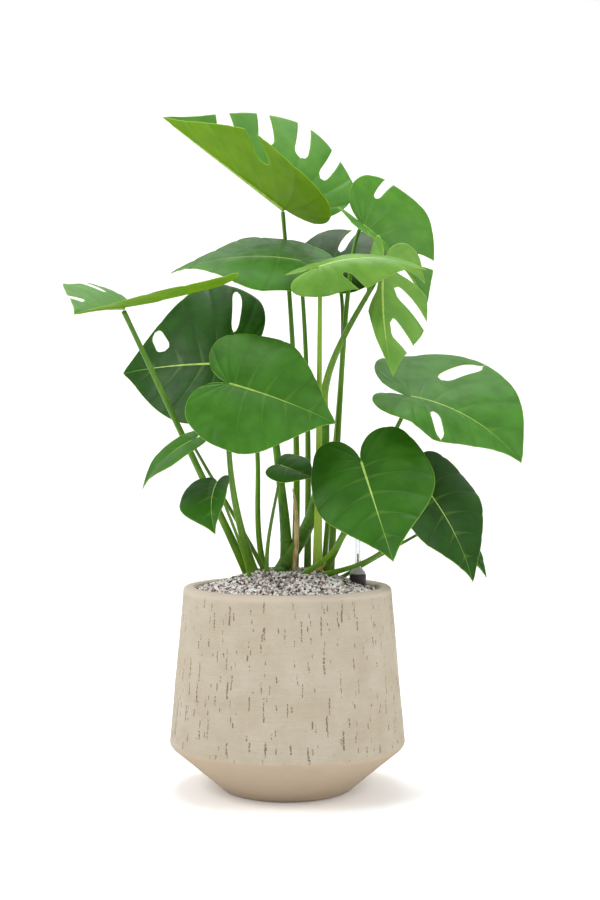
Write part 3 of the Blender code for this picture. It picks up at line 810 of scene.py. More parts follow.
@dataclass(frozen=True)
class LeafBlade:
    """One leaf: its age, where the stalk joins it (millimetres) and how it hangs (degrees).

    Aim is heading, pitch and roll. Size is a share of a full-grown blade and spread of its
    growth's half width. Pairs are (left half, right half) as seen from above, along the midrib.
    """

    name: str
    growth: Growth
    joint: Point
    aim: Point
    size: float
    spread: Pair = (1.0, 1.0)
    splits: tuple[int, int] = (0, 0)
    depth: float = 0.5
    gap: float = SLOT_GAP
    bend: float = 20.0
    sway: float = 0.0
    fold: Pair = (8.0, 8.0)
    curl: Pair = (-20.0, -20.0)
    twist: float = 0.0
    bridge: float = 1.0  # where the splits end; under 1 tissue closes them at the margin
    tone: BladeTone = BladeTone.MATURE
    slot_name: str = "leaf_green"
    waves: Pair = (2.0, 3.5)  # height in millimetres and number along each half margin
    veins: int = 8  # side veins in each half
    bulge: float = 1.1  # height of the tissue between side veins, in millimetres
    thickness: float = 0.9
    tip_share: float = 0.14
    vein_fan: float = 0.34  # share of the margin whose veins start at the stalk

    @property
    def length(self) -> float:
        """Length of the blade along its midrib.

        Returns:
            Millimetres.
        """
        return BLADE_SPAN * self.size

    @property
    def half_width(self) -> Pair:
        """Width of each half.

        Returns:
            Millimetres, left and right.
        """
        left, right = self.spread
        whole = self.growth.half_width * self.length
        return whole * left, whole * right

    @property
    def lobe(self) -> float:
        """How far the basal lobes reach behind the stalk.

        Returns:
            Millimetres.
        """
        return self.growth.lobe * self.length

    @property
    def slots(self) -> tuple[tuple[Slot, ...], ...]:
        """The splits of each half, evenly spaced along its margin.

        Returns:
            A tuple of slots for each half.
        """
        halves = []
        for count in self.splits:
            step = (LAST_SPLIT - FIRST_SPLIT) / max(1, count - 1)
            places = [FIRST_SPLIT + step * i for i in range(count)] if count != 1 else [LONE_SPLIT]
            halves.append(tuple(Slot(place, 1 - self.depth, self.gap, end=self.bridge)
                                for place in places))
        return tuple(halves)

    def columns(self) -> int:
        """Columns of points along each half margin: the same number between all side veins."""
        per_vein = max(6, round(self.length * 0.075))
        return (self.veins + 1) * per_vein

    def rows(self) -> int:
        """Rows of points from the midrib to the margin."""
        return int(min(34, max(14, max(self.half_width) / 4.2)))

    def half_outline(self, side: int) -> tuple[Array, Array]:
        """The half margin, from the stalk round the basal lobe to the tip.

        Args:
            side: 0 for the left half and 1 for the right.

        Returns:
            Its points, and each one's share of the margin's length.
        """
        length, width, lobe = self.length, self.half_width[side], self.lobe
        widest = self.growth.widest * length
        shoulder = (-0.62 * lobe, 0.80 * width)
        neck = (length * (1 - self.tip_share * 0.35), 0.07 * width)
        pieces = (
            ((0, 0), (-1.05 * lobe, 0.02 * width), (-1.30 * lobe, 0.62 * width), shoulder),
            (shoulder, (-0.25 * lobe, 0.91 * width), (widest - 0.20 * length, width),
             (widest, width)),
            ((widest, width), (widest + 0.28 * length, width),
             (length * (1 - self.tip_share * 1.6), 0.26 * width), neck),
            (neck, (length * (1 - self.tip_share * 0.18), 0.035 * width),
             (length * 0.99, 0.01 * width), (length, 0)),
        )
        shares = np.linspace(0, 1, 61)
        points = np.vstack([bezier(piece, shares)[int(i > 0):] for i, piece in enumerate(pieces)])
        steps = np.linalg.norm(np.diff(points, axis=0), axis=1)
        travelled = np.concatenate([[0], np.cumsum(steps)])
        return points, travelled / travelled[-1]

    def flat_points(self, side: int, margin: Array, reach: Array) -> Array:
        """Flat leaf points on the veins that end at margin shares, at shares of their lengths.

        Args:
            side: 0 for the left half and 1 for the right.
            margin: margin shares.
            reach: shares of the vein's length.

        Returns:
            Distances along and across the midrib, in millimetres.
        """
        points, shares = self.half_outline(side)
        end = np.stack([np.interp(margin, shares, points[:, k]) for k in (0, 1)], -1)
        part = np.clip((margin - self.vein_fan) / (1 - self.vein_fan), 0, 1)
        start = np.stack([self.length * part ** self.growth.lean, np.zeros_like(margin)], -1)
        chord = end - start
        aside = np.stack([-chord[..., 1], chord[..., 0]], -1)
        lean_back = 0.12 * (1 - np.abs(2 * margin - 1) * 0.6)
        control = start + chord * 0.55 + aside * lean_back[..., None]
        t = reach[..., None]
        return start * (1 - t) ** 2 + control * 2 * (1 - t) * t + end * t ** 2

    def axes(self) -> tuple[Array, Array, Array]:
        """Directions where the stalk joins.

        Returns:
            Unit vectors along the midrib, to the left and out of the upper face.
        """
        heading, pitch, roll = (math.radians(angle) for angle in self.aim)
        ahead = np.array([math.cos(heading) * math.cos(pitch),
                          math.sin(heading) * math.cos(pitch), math.sin(pitch)])
        level = np.array([-math.sin(heading), math.cos(heading), 0.0])
        over = np.cross(ahead, level)
        left = level * math.cos(roll) + over * math.sin(roll)
        return ahead, left, over * math.cos(roll) - level * math.sin(roll)

    def midrib(self, distance: Array) -> tuple[Array, Array, Array]:
        """Centre, left and up directions on the bent midrib at signed distances from the stalk.

        Args:
            distance: distances along the midrib in millimetres, negative behind the stalk.

        Returns:
            Three arrays with one row per distance.
        """
        ahead, left, up = self.axes()
        stations = np.linspace(0, 1, 97)
        drop = -math.radians(self.bend) * stations
        turn = math.radians(self.sway) * stations
        tangent = (np.cos(drop) * np.cos(turn))[:, None] * ahead + \
            (np.cos(drop) * np.sin(turn))[:, None] * left + np.sin(drop)[:, None] * up
        steps = (tangent[1:] + tangent[:-1]) / 2 * (self.length / 96)
        front = np.vstack([np.zeros(3), np.cumsum(steps, axis=0)])
        over = np.cos(drop)[:, None] * up - (np.sin(drop) * np.cos(turn))[:, None] * ahead - \
            (np.sin(drop) * np.sin(turn))[:, None] * left
        beside = np.cross(over, tangent)
        twist = (math.radians(self.twist) * stations)[:, None]
        front_left = beside * np.cos(twist) + over * np.sin(twist)
        front_up = over * np.cos(twist) - beside * np.sin(twist)
        reach = self.lobe * 1.4
        places = np.concatenate([[-reach], stations * self.length])
        tables = (np.vstack([-ahead * reach, front]), np.vstack([left, front_left]),
                  np.vstack([up, front_up]))
        return tuple(np.stack([np.interp(distance, places, table[:, k]) for k in range(3)], -1)
                     for table in tables)

    def in_space(self, side: int, flat: Array, margin: Array) -> Array:
        """Carry flat leaf points onto the folded, curled, bent and wavy blade.

        Args:
            side: 0 for the left half and 1 for the right.
            flat: distances along and across the midrib.
            margin: margin shares, which place the waves.

        Returns:
            Points in millimetres.
        """
        centre, left, up = self.midrib(flat[..., 0])
        reach = np.abs(flat[..., 1])
        width = self.half_width[side]
        fold, turn = math.radians(self.fold[side]), math.radians(self.curl[side]) / width
        if abs(turn) < 1e-9:
            out, rise = math.cos(fold) * reach, math.sin(fold) * reach
        else:
            end = fold + turn * reach
            out = (np.sin(end) - math.sin(fold)) / turn
            rise = (math.cos(fold) - np.cos(end)) / turn
        height, number = self.waves
        ripple = np.sin(2 * math.pi * (number * margin + 0.37 * side + self.length * 0.013))
        rise = rise + height * (reach / width) ** 2 * ripple
        hand = 1 if side == 0 else -1
        return np.array(self.joint) + centre + left * (hand * out)[..., None] + \
            up * rise[..., None]

    def slot_width(self, slot: Slot | None, reach: Array) -> Array:
        """Half width of a slot at shares of the vein's length.

        Args:
            slot: the slot, or None at the blade's two ends.
            reach: shares of the vein's length.

        Returns:
            Half widths, as shares of the margin.
        """
        if slot is None:
            return np.zeros_like(reach)
        share = (reach - slot.start) / (1 - slot.start)
        rounding = 1 - (1 - np.clip(share / 0.22, 0, 1)) ** 2
        width = slot.gap * np.sqrt(rounding) * (1 + slot.flare * share)
        if slot.end < 1:
            closing = np.clip((slot.end - reach) / (1 - slot.start) / 0.25, 0, 1)
            width = width * np.sqrt(1 - (1 - closing) ** 2)
        return np.where(reach <= slot.start, 0.0, width)

    def patches(self, side: int) -> list[dict[str, Array]]:
        """Grids of points for each lobe of one half.

        Args:
            side: 0 for the left half and 1 for the right.

        Returns:
            One dict per lobe with margin and reach shares and flat and bent points.
        """
        slots = self.slots[side]
        count, rows = self.columns(), self.rows()
        limits = [0.0] + [slot.margin for slot in slots] + [1.0]
        stops = [round(count * limit) for limit in limits]
        starts = [slot.start for slot in slots] or [0.5]
        inner = max(2, round(rows * 0.45))
        made = []
        for k in range(len(limits) - 1):
            before = slots[k - 1] if k else None
            after = slots[k] if k < len(slots) else None
            share = np.linspace(0, 1, stops[k + 1] - stops[k] + 1)[:, None]
            start = starts[max(0, k - 1)] + (starts[min(k, len(starts) - 1)] -
                                             starts[max(0, k - 1)]) * share
            row = np.arange(rows + 1)[None]
            reach = np.where(row <= inner, start * row / inner,
                             start + (1 - start) * (row - inner) / (rows - inner))
            low = limits[k] + self.slot_width(before, reach)
            high = limits[k + 1] - self.slot_width(after, reach)
            even = (stops[k] + np.arange(len(share))[:, None]) / count
            margin = even + (low + (high - low) * share - even) * eased(reach / (0.7 * start))
            flat = self.flat_points(side, margin, reach)
            made.append({"margin": margin, "reach": reach, "flat": flat,
                         "points": self.in_space(side, flat, margin)})
        return made

    def sheet(self) -> tuple[Array, list, dict[str, Array]]:
        """The blade's open middle sheet.

        Returns:
            Points in millimetres, faces, and the distances that its skin is drawn by.
        """
        points, faces, flats = [], [], []
        offs, gaps, widths = [], [], []
        for side in (0, 1):
            outline, _ = self.half_outline(side)
            reach_scale = float(np.linalg.norm(np.diff(outline, axis=0), axis=1).sum())
            for patch in self.patches(side):
                columns, rows = patch["margin"].shape
                first = sum(len(p) for p in points)
                numbers = first + np.arange(columns * rows).reshape(columns, rows)
                a, b = numbers[:-1, :-1].ravel(), numbers[:-1, 1:].ravel()
                c, d = numbers[1:, 1:].ravel(), numbers[1:, :-1].ravel()
                quads = np.stack([d, c, b, a] if side == 0 else [a, b, c, d], -1)
                faces += quads.tolist()
                points.append(patch["points"].reshape(-1, 3))
                hand = 1 if side == 0 else -1
                flats.append((patch["flat"] * (1, hand)).reshape(-1, 2))
                phase = patch["margin"] * (self.veins + 1)
                off = np.abs(phase - np.round(phase))
                off = np.where((np.round(phase) < 1) | (np.round(phase) > self.veins), 0.5, off)
                spacing = reach_scale / (self.veins + 1) * np.clip(patch["reach"], 0.02, 1)
                offs.append(off.ravel())
                gaps.append(spacing.ravel())
                drawn = np.maximum(0.25, 0.95 * (1 - patch["reach"]))
                widths.append(np.minimum(drawn, 0.16 * spacing).ravel())
        flat = np.vstack(flats)
        rib_width = (0.5 + self.length * 0.0075) * (1 - 0.75 * np.clip(flat[:, 0] / self.length,
                                                                       0, 1))
        off, gap = np.concatenate(offs), np.concatenate(gaps)
        return np.vstack(points), faces, {
            "vein_off": off, "vein_gap": gap, "vein_width": np.concatenate(widths),
            "rib_off": np.where(flat[:, 0] >= -1, np.abs(flat[:, 1]) / rib_width, 9.0),
            "vein_mm": off * gap, "midrib_mm": np.abs(flat[:, 1]),
            "flat_x": flat[:, 0], "flat_y": flat[:, 1]}

    def relief(self, values: dict[str, Array]) -> Array:
        """Height of the tissue above the middle sheet: bulges between veins, valleys on them.

        Args:
            values: the sheet's distances to its side veins and midrib.

        Returns:
            Heights in millimetres.
        """
        away = np.minimum(values["vein_mm"] / 9.0, 1.0)
        rib = np.minimum(values["midrib_mm"] / 7.0, 1.0)
        return self.bulge * (np.sqrt(away) * np.sqrt(rib) - 0.5)

    def build(self) -> bpy.types.Object:
        """Make the blade and put it in place of its CAD node.

        Returns:
            The blade.
        """
        points, faces, values = self.sheet()
        work = bmesh.new()
        mesh = bpy.data.meshes.new(self.name + "_sheet")
        mesh.from_pydata([tuple(p) for p in points * MM], [], faces)
        values["lift"] = self.relief(values)
        for key, numbers in values.items():
            store = mesh.attributes.new(key, "FLOAT", "POINT")
            store.data.foreach_set("value", numbers.astype(np.float32))
        work.from_mesh(mesh)
        bmesh.ops.remove_doubles(work, verts=work.verts, dist=0.00003)
        work.normal_update()
        lift = work.verts.layers.float["lift"]
        for vert, normal in [(v, v.normal.copy()) for v in work.verts]:
            vert.co += normal * (vert[lift] * MM)
        self.mark_margin(work)
        work.to_mesh(mesh)
        work.free()
        for key in ("lift", "flat_x", "flat_y", "vein_mm", "midrib_mm"):
            mesh.attributes.remove(mesh.attributes[key])
        for material in BladeSkin(self.tone).materials(self.name):
            mesh.materials.append(material)
        mesh.shade_smooth()
        blade = bpy.data.objects.new(self.name + "_blade", mesh)
        bpy.context.scene.collection.objects.link(blade)
        solid = blade.modifiers.new("thickness", "SOLIDIFY")
        solid.thickness = self.thickness * MM
        solid.offset = 0.0
        solid.material_offset = 1
        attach(blade, BODY)
        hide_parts(self.name)
        return blade

    def mark_margin(self, work: bmesh.types.BMesh) -> None:
        """Store each point's flat distance to the margin and to the slots' edges.

        Args:
            work: the sheet, with its flat places stored as flat_x and flat_y.
        """
        fx, fy = work.verts.layers.float["flat_x"], work.verts.layers.float["flat_y"]
        margin_layer = work.verts.layers.float.new("margin_mm")
        places = np.array([(v[fx], v[fy]) for v in work.verts])
        on_edge = np.array([v.is_boundary for v in work.verts])
        edge = places[on_edge]
        nearest = np.full(len(places), 99.0)
        for chunk in np.array_split(np.arange(len(places)), max(1, len(places) // 800)):
            gaps = places[chunk][:, None] - edge[None]
            nearest[chunk] = np.sqrt((gaps ** 2).sum(-1).min(1))
        for vert, distance in zip(work.verts, nearest):
            vert[margin_layer] = distance

    def build_rib(self) -> bpy.types.Object:
        """The raised midrib under the blade, thick at the stalk and fine at the tip.

        Returns:
            The rib.
        """
        shares = np.linspace(0.0, 0.93, 60)
        centre, _, up = self.midrib(shares * self.length)
        root = 1.1 + self.length * 0.008
        radii = root * (1 - shares) ** 0.8 + 0.35
        sunk = self.thickness * 0.5 + self.bulge * 0.5
        path = np.array(self.joint) + centre - up * (sunk + radii * 0.35)[:, None]
        points, faces, _, _ = swept(path, radii, 10)
        return new_piece(self.name + "_midrib", points * MM, faces,
                         [VeinSkin().material(self.name + "_rib_skin")])


# ---------------------------------------------------------------- stalks


@dataclass(frozen=True)
class Petiole:
    """One leaf stalk along a curve, grooved above and winged by its sheath low down.

    Attributes:
        leaf: the blade it carries.
        root: where it leaves the substrate.
        root_radius: radius at the substrate.
        end_radius: radius below the blade.
        low: how far the lower handle lies off the straight line from root to blade.
        high: the same for the upper handle.
        sheath: share of the length that the winged sheath takes.
        wing: how far the sheath's wings stand out, as a share of the radius.
        skin: its colours.
    """

    leaf: str
    root: Pair
    root_radius: float
    end_radius: float
    low: Point = (0, 0, 0)
    high: Point = (0, 0, 0)
    sheath: float = 0.0
    wing: float = 0.5
    skin: StalkSkin = field(default_factory=StalkSkin)
    sides: int = 28

    @property
    def name(self) -> str:
        """The CAD node it stands for.

        Returns:
            The node's name.
        """
        return self.leaf.replace("leaf", "petiole")

    @property
    def rooted(self) -> bool:
        """Whether it goes down into the substrate.

        Returns:
            False only for the stalk on top of the thick stem.
        """
        return self.leaf != BRANCH_LEAF

    @property
    def path(self) -> tuple[Array, ...]:
        """The curve from the root to just below the blade.

        Returns:
            Root, two handles and end in millimetres.
        """
        blade = next(blade for blade in LEAVES if blade.name == self.leaf)
        height = float(GranuleBed().height_at(math.hypot(*self.root) * MM)) / MM
        root = np.array([*self.root, height])
        if not self.rooted:
            root = np.array(Rootstock().main_path[-1]) + (0, 0, STALK_DROP)
        end = np.array(blade.joint) - blade.axes()[2] * STALK_DROP
        low = root + (end - root) / 3 + self.low
        high = root + (end - root) * 2 / 3 + self.high
        return root, low, high, end

    def stations(self) -> tuple[Array, Array, Array]:
        """The stalk from below the substrate to the blade.

        Returns:
            Points in millimetres, radii, and shares of the visible length.
        """
        shares = np.linspace(0, 1, 110)
        points = bezier(self.path, shares)
        radii = self.root_radius + (self.end_radius - self.root_radius) * shares ** 0.6
        if self.rooted:
            down = points[0] * (0.94, 0.94, 1.0) - (0, 0, 20.0)
            extra = np.linspace(0, 1, 7)[:-1, None]
            points = np.vstack([down + (points[0] - down) * extra, points])
            radii = np.concatenate([np.full(6, self.root_radius * 0.95), radii])
            shares = np.concatenate([np.zeros(6), shares])
        return points, radii, shares

    def build(self) -> bpy.types.Object:
        """Make the stalk and put it in place of its CAD node.

        Returns:
            The stalk.
        """
        points, radii, shares = self.stations()
        angles = np.arange(self.sides) * 2 * math.pi / self.sides
        face = np.cos(angles - math.pi * 0.5)
        groove = -0.16 * np.exp(-((face - 1) / 0.10) ** 2)
        shape = np.ones((len(points), self.sides)) * (1 + groove)
        if self.sheath:
            fade = eased(1 - shares / self.sheath) ** 0.6
            wings = np.exp(-((face - 0.55) / 0.16) ** 2)
            shape += self.wing * fade[:, None] * wings[None]
        swell = 0.10 * np.exp(-((shares - 0.985) / 0.02) ** 2)
        shape += swell[:, None]
        flat, faces, along, around = swept(points, radii, self.sides, shape)
        # how squarely each point faces the groove's side, which the skin paints paler as its lit
        # side
        lit = np.cos(around * 2 * math.pi / self.sides - math.pi * 0.5)
        stalk = new_piece(self.name + "_stalk", flat * MM, faces,
                          [self.skin.material(self.name + "_skin")],
                          {"along": along, "around": lit})
        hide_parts(self.name)
        return stalk


@dataclass(frozen=True)
class Rootstock:
    """The thick slanting stem with its ring scars, the side stem and the cut stub.

    Paths are root, two handles and end, and radii are at the root and at the end. Rings are the
    shares of the length at which an old leaf left its scar.
    """

    main_path: tuple[Point, ...] = ((-12, -12, 319), (18, -6, 372), (60, 16, 400), (54, 20, 560))
    side_path: tuple[Point, ...] = ((-2, -4, 321), (0, -2, 372), (-6, 0, 420), (-22, 4, 546))
    stub_path: tuple[Point, ...] = ((-6, -14, 312), (-8, -20, 316), (-9, -26, 320), (-10, -32, 325))
    main_radii: Pair = (11.5, 8.5)
    side_radii: Pair = (12.0, 5.0)
    stub_radii: Pair = (8.5, 7.5)
    main_rings: tuple[float, ...] = (0.10, 0.19, 0.29, 0.41)
    side_rings: tuple[float, ...] = (0.12, 0.3)
    stub_rings: tuple[float, ...] = (0.5,)
    sides: int = 32
    sunk: float = 22.0  # how far the roots of the limbs reach below the heap

    def limb(self, name: str, path: tuple[Point, ...], radii: Pair, rings: tuple[float, ...],
             buried: bool = True) -> bpy.types.Object:
        """One thick limb with ring scars.

        Args:
            name: the piece's name.
            path: root, two handles and end.
            radii: radius at the root and at the end.
            rings: shares of the length at which an old leaf left its ring.
            buried: whether it goes down into the substrate.

        Returns:
            The new piece.
        """
        shares = np.linspace(0, 1, 120)
        points = bezier(path, shares)
        sizes = radii[0] + (radii[1] - radii[0]) * shares ** 0.6
        scar = np.zeros_like(shares)
        for place in rings:
            scar += np.exp(-((shares - place) / 0.008) ** 2)
        if buried:
            down = points[0] - (0, 0, self.sunk)
            extra = np.linspace(0, 1, 7)[:-1, None]
            points = np.vstack([down + (points[0] - down) * extra, points])
            sizes = np.concatenate([np.full(6, radii[0]), sizes])
            scar = np.concatenate([np.zeros(6), scar])
        angles = np.arange(self.sides) * 2 * math.pi / self.sides
        shape = 1 + 0.05 * scar[:, None] + 0.03 * np.sin(3 * angles)[None] + \
            0.02 * np.sin(5 * angles + 1)[None]
        flat, faces, _, _ = swept(points, sizes, self.sides, shape)
        ring = np.concatenate([np.repeat(scar, self.sides), [0.0, 0.0]])
        return new_piece(name, flat * MM, faces, [RootstockSkin().material(name + "_skin")],
                         {"ring": ring})

    def build(self) -> None:
        """Make the three limbs in place of the CAD node."""
        stem = self.limb("rootstock_stem", self.main_path, self.main_radii, self.main_rings)
        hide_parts("rootstock")
        self.limb("rootstock_side_stem", self.side_path, self.side_radii, self.side_rings)
        self.limb("rootstock_stub", self.stub_path, self.stub_radii, self.stub_rings, False)


@dataclass(frozen=True)
class DrySheath:
    """A withered sheath that wraps one side of a stalk.

    Attributes:
        name: the piece's name.
        path: root, two handles and end in millimetres.
        width: its radius where it is widest.
        wrap: how far round the stalk it reaches, in degrees.
        facing: which side of the stalk it covers, in degrees.
        thickness: thickness of the dry tissue.
    """

    name: str
    path: tuple[Point, ...]
    width: float
    wrap: float = 150.0
    facing: float = 270.0
    thickness: float = 0.5

    def build(self) -> bpy.types.Object:
        """Make the sheath as a thin closed shell.

        Returns:
            The sheath.
        """
        shares = np.linspace(0, 1, 40)
        points = bezier(self.path, shares)
        _, across, over = carried_frames(points)
        span = np.linspace(-0.5, 0.5, 13)
        taper = np.sin(np.clip(shares * 0.86 + 0.14, 0, 1) * math.pi) ** 0.5
        radius = self.width * taper[:, None] * (1 + 0.06 * np.sin(shares * 23)[:, None])
        angle = np.radians(self.facing + self.wrap * span)[None] + 0.2 * np.sin(
            shares * 9)[:, None]
        grid = points[:, None] + radius[..., None] * (
            np.cos(angle)[..., None] * across[:, None] + np.sin(angle)[..., None] * over[:, None])
        rows, columns = grid.shape[:2]
        number = np.arange(rows * columns).reshape(rows, columns)
        faces = np.stack([number[:-1, :-1], number[:-1, 1:], number[1:, 1:], number[1:, :-1]],
                         -1).reshape(-1, 4).tolist()
        piece = new_piece(self.name, grid.reshape(-1, 3) * MM, faces,
                          [PaperySheath().material(self.name + "_skin")])
        solid = piece.modifiers.new("thickness", "SOLIDIFY")
        solid.thickness = self.thickness * MM
        solid.offset = 0.0
        return piece


# ---------------------------------------------------------------- pot and substrate


@dataclass(frozen=True)
class Pot:
    """The tapered fibre-clay pot, turned from a profile and roughened by hand-worked waviness."""

    height: float = 0.300
    belly_radius: float = 0.175
    rim_radius: float = 0.155
    base_radius: float = 0.103
    belly_height: float = 0.070
    wall: float = 0.018
    floor: float = 0.022
    lip_radius: float = 0.006
    foot_radius: float = 0.010
    steps: int = 360
    wobble: float = 0.0005  # how far hand work leaves the wall out of round

    def outer_profile(self) -> list[Pair]:
        """The outer wall, from the lip's inner edge down to the base's middle.

        Returns:
            Radius and height of each point.
        """
        rim, lip, belly, base = (self.rim_radius, self.lip_radius, self.belly_radius,
                                 self.base_radius)
        points = []
        for i in range(9):
            angle = math.radians(180 - 22.5 * i)
            side = -1 if i < 4 else 1
            middle = rim - self.wall / 2 + side * (self.wall / 2 - lip)
            points.append((middle + lip * math.cos(angle),
                           self.height - lip + lip * math.sin(angle)))
        for i in range(1, 90):
            share = i / 90
            top, low = (rim, self.height - lip), (belly - 0.0004, self.belly_height + 0.004)
            points.append((top[0] + (low[0] - top[0]) * share, top[1] + (low[1] - top[1]) * share))
        points += [(belly - 0.0003, self.belly_height + 0.003), (belly, self.belly_height + 0.001),
                   (belly - 0.0006, self.belly_height - 0.002),
                   (belly - 0.0032, self.belly_height - 0.006)]
        foot = self.foot_radius
        start = (base - foot + foot * math.cos(math.radians(-35)),
                 foot + foot * math.sin(math.radians(-35)))
        chamfer_top = points[-1]
        for i in range(1, 22):
            share = i / 22
            points.append((chamfer_top[0] + (start[0] - chamfer_top[0]) * share,
                           chamfer_top[1] + (start[1] - chamfer_top[1]) * share))
        for i in range(8):
            angle = math.radians(-35 - 55 * i / 7)
            points.append((base - foot + foot * math.cos(angle), foot + foot * math.sin(angle)))
        points += [(base * share, 0.0) for share in (0.75, 0.5, 0.25)]
        return points

    def inner_profile(self) -> list[Pair]:
        """The cavity, from the floor's middle up to the lip.

        Returns:
            Radius and height of each point.
        """
        base, belly = self.base_radius - 0.006, self.belly_radius - self.wall
        rim = self.rim_radius - self.wall
        points = [(base * share, self.floor) for share in (0.3, 0.7, 1.0)]
        points += [(base + (belly - base) * s, self.floor + (self.belly_height - self.floor) * s)
                   for s in (0.33, 0.67, 1.0)]
        top = self.height - self.lip_radius
        points += [(belly + (rim - belly) * s, self.belly_height + (top - self.belly_height) * s)
                   for s in np.linspace(0.1, 0.95, 10)]
        return points

    def build(self) -> bpy.types.Object:
        """Make the pot and put it in place of its CAD node.

        Returns:
            The pot.
        """
        profile = np.array(self.inner_profile() + self.outer_profile())
        rings, steps = len(profile), self.steps
        angles = np.arange(steps) * 2 * math.pi / steps
        radius, height = profile[:, 0][:, None], profile[:, 1][:, None]
        inner = len(self.inner_profile())
        outside = (np.arange(rings) > inner + 4)[:, None]
        wave = np.sin(3 * angles + height * 31) + 0.6 * np.sin(7 * angles - height * 53 + 1.3) + \
            0.35 * np.sin(19 * angles + height * 140)
        radius = radius + self.wobble * 0.5 * wave * outside
        points = np.stack([radius * np.cos(angles), radius * np.sin(angles),
                           height + 0 * angles], -1).reshape(-1, 3)
        points = np.vstack([points, (0, 0, self.floor), (0, 0, 0)])
        faces = ring_faces(rings, steps, (3, 2, 1, 0))
        floor_point, base_point = rings * steps, rings * steps + 1
        for j in range(steps):
            k = (j + 1) % steps
            faces.append((floor_point, j, k))
            faces.append((base_point, (rings - 1) * steps + k, (rings - 1) * steps + j))
        clay = FibreClay().material("pressed_fibre_clay", self.belly_height, self.height)
        pot = new_piece("pot_body", points, faces, [clay])
        self.lay_wall_map(pot.data, steps)
        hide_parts("pot")
        return pot

    def lay_wall_map(self, mesh: bpy.types.Mesh, steps: int) -> None:
        """A UV map in metres: round the wall by angle, up the wall by height.

        Args:
            mesh: the pot's mesh.
            steps: columns round the pot.
        """
        layer = mesh.uv_layers.new(name="wall")
        turn = 2 * math.pi * self.rim_radius
        for face in mesh.polygons:
            spots = []
            for loop in face.loop_indices:
                co = mesh.vertices[mesh.loops[loop].vertex_index].co
                share = (math.atan2(co.x, co.y) / (2 * math.pi)) % 1.0
                spots.append([share * turn, co.z, loop])
            if max(s[0] for s in spots) - min(s[0] for s in spots) > turn / 2:
                for spot in spots:
                    spot[0] += turn if spot[0] < turn / 2 else 0.0
            for across, up, loop in spots:
                layer.data[loop].uv = (across, up)


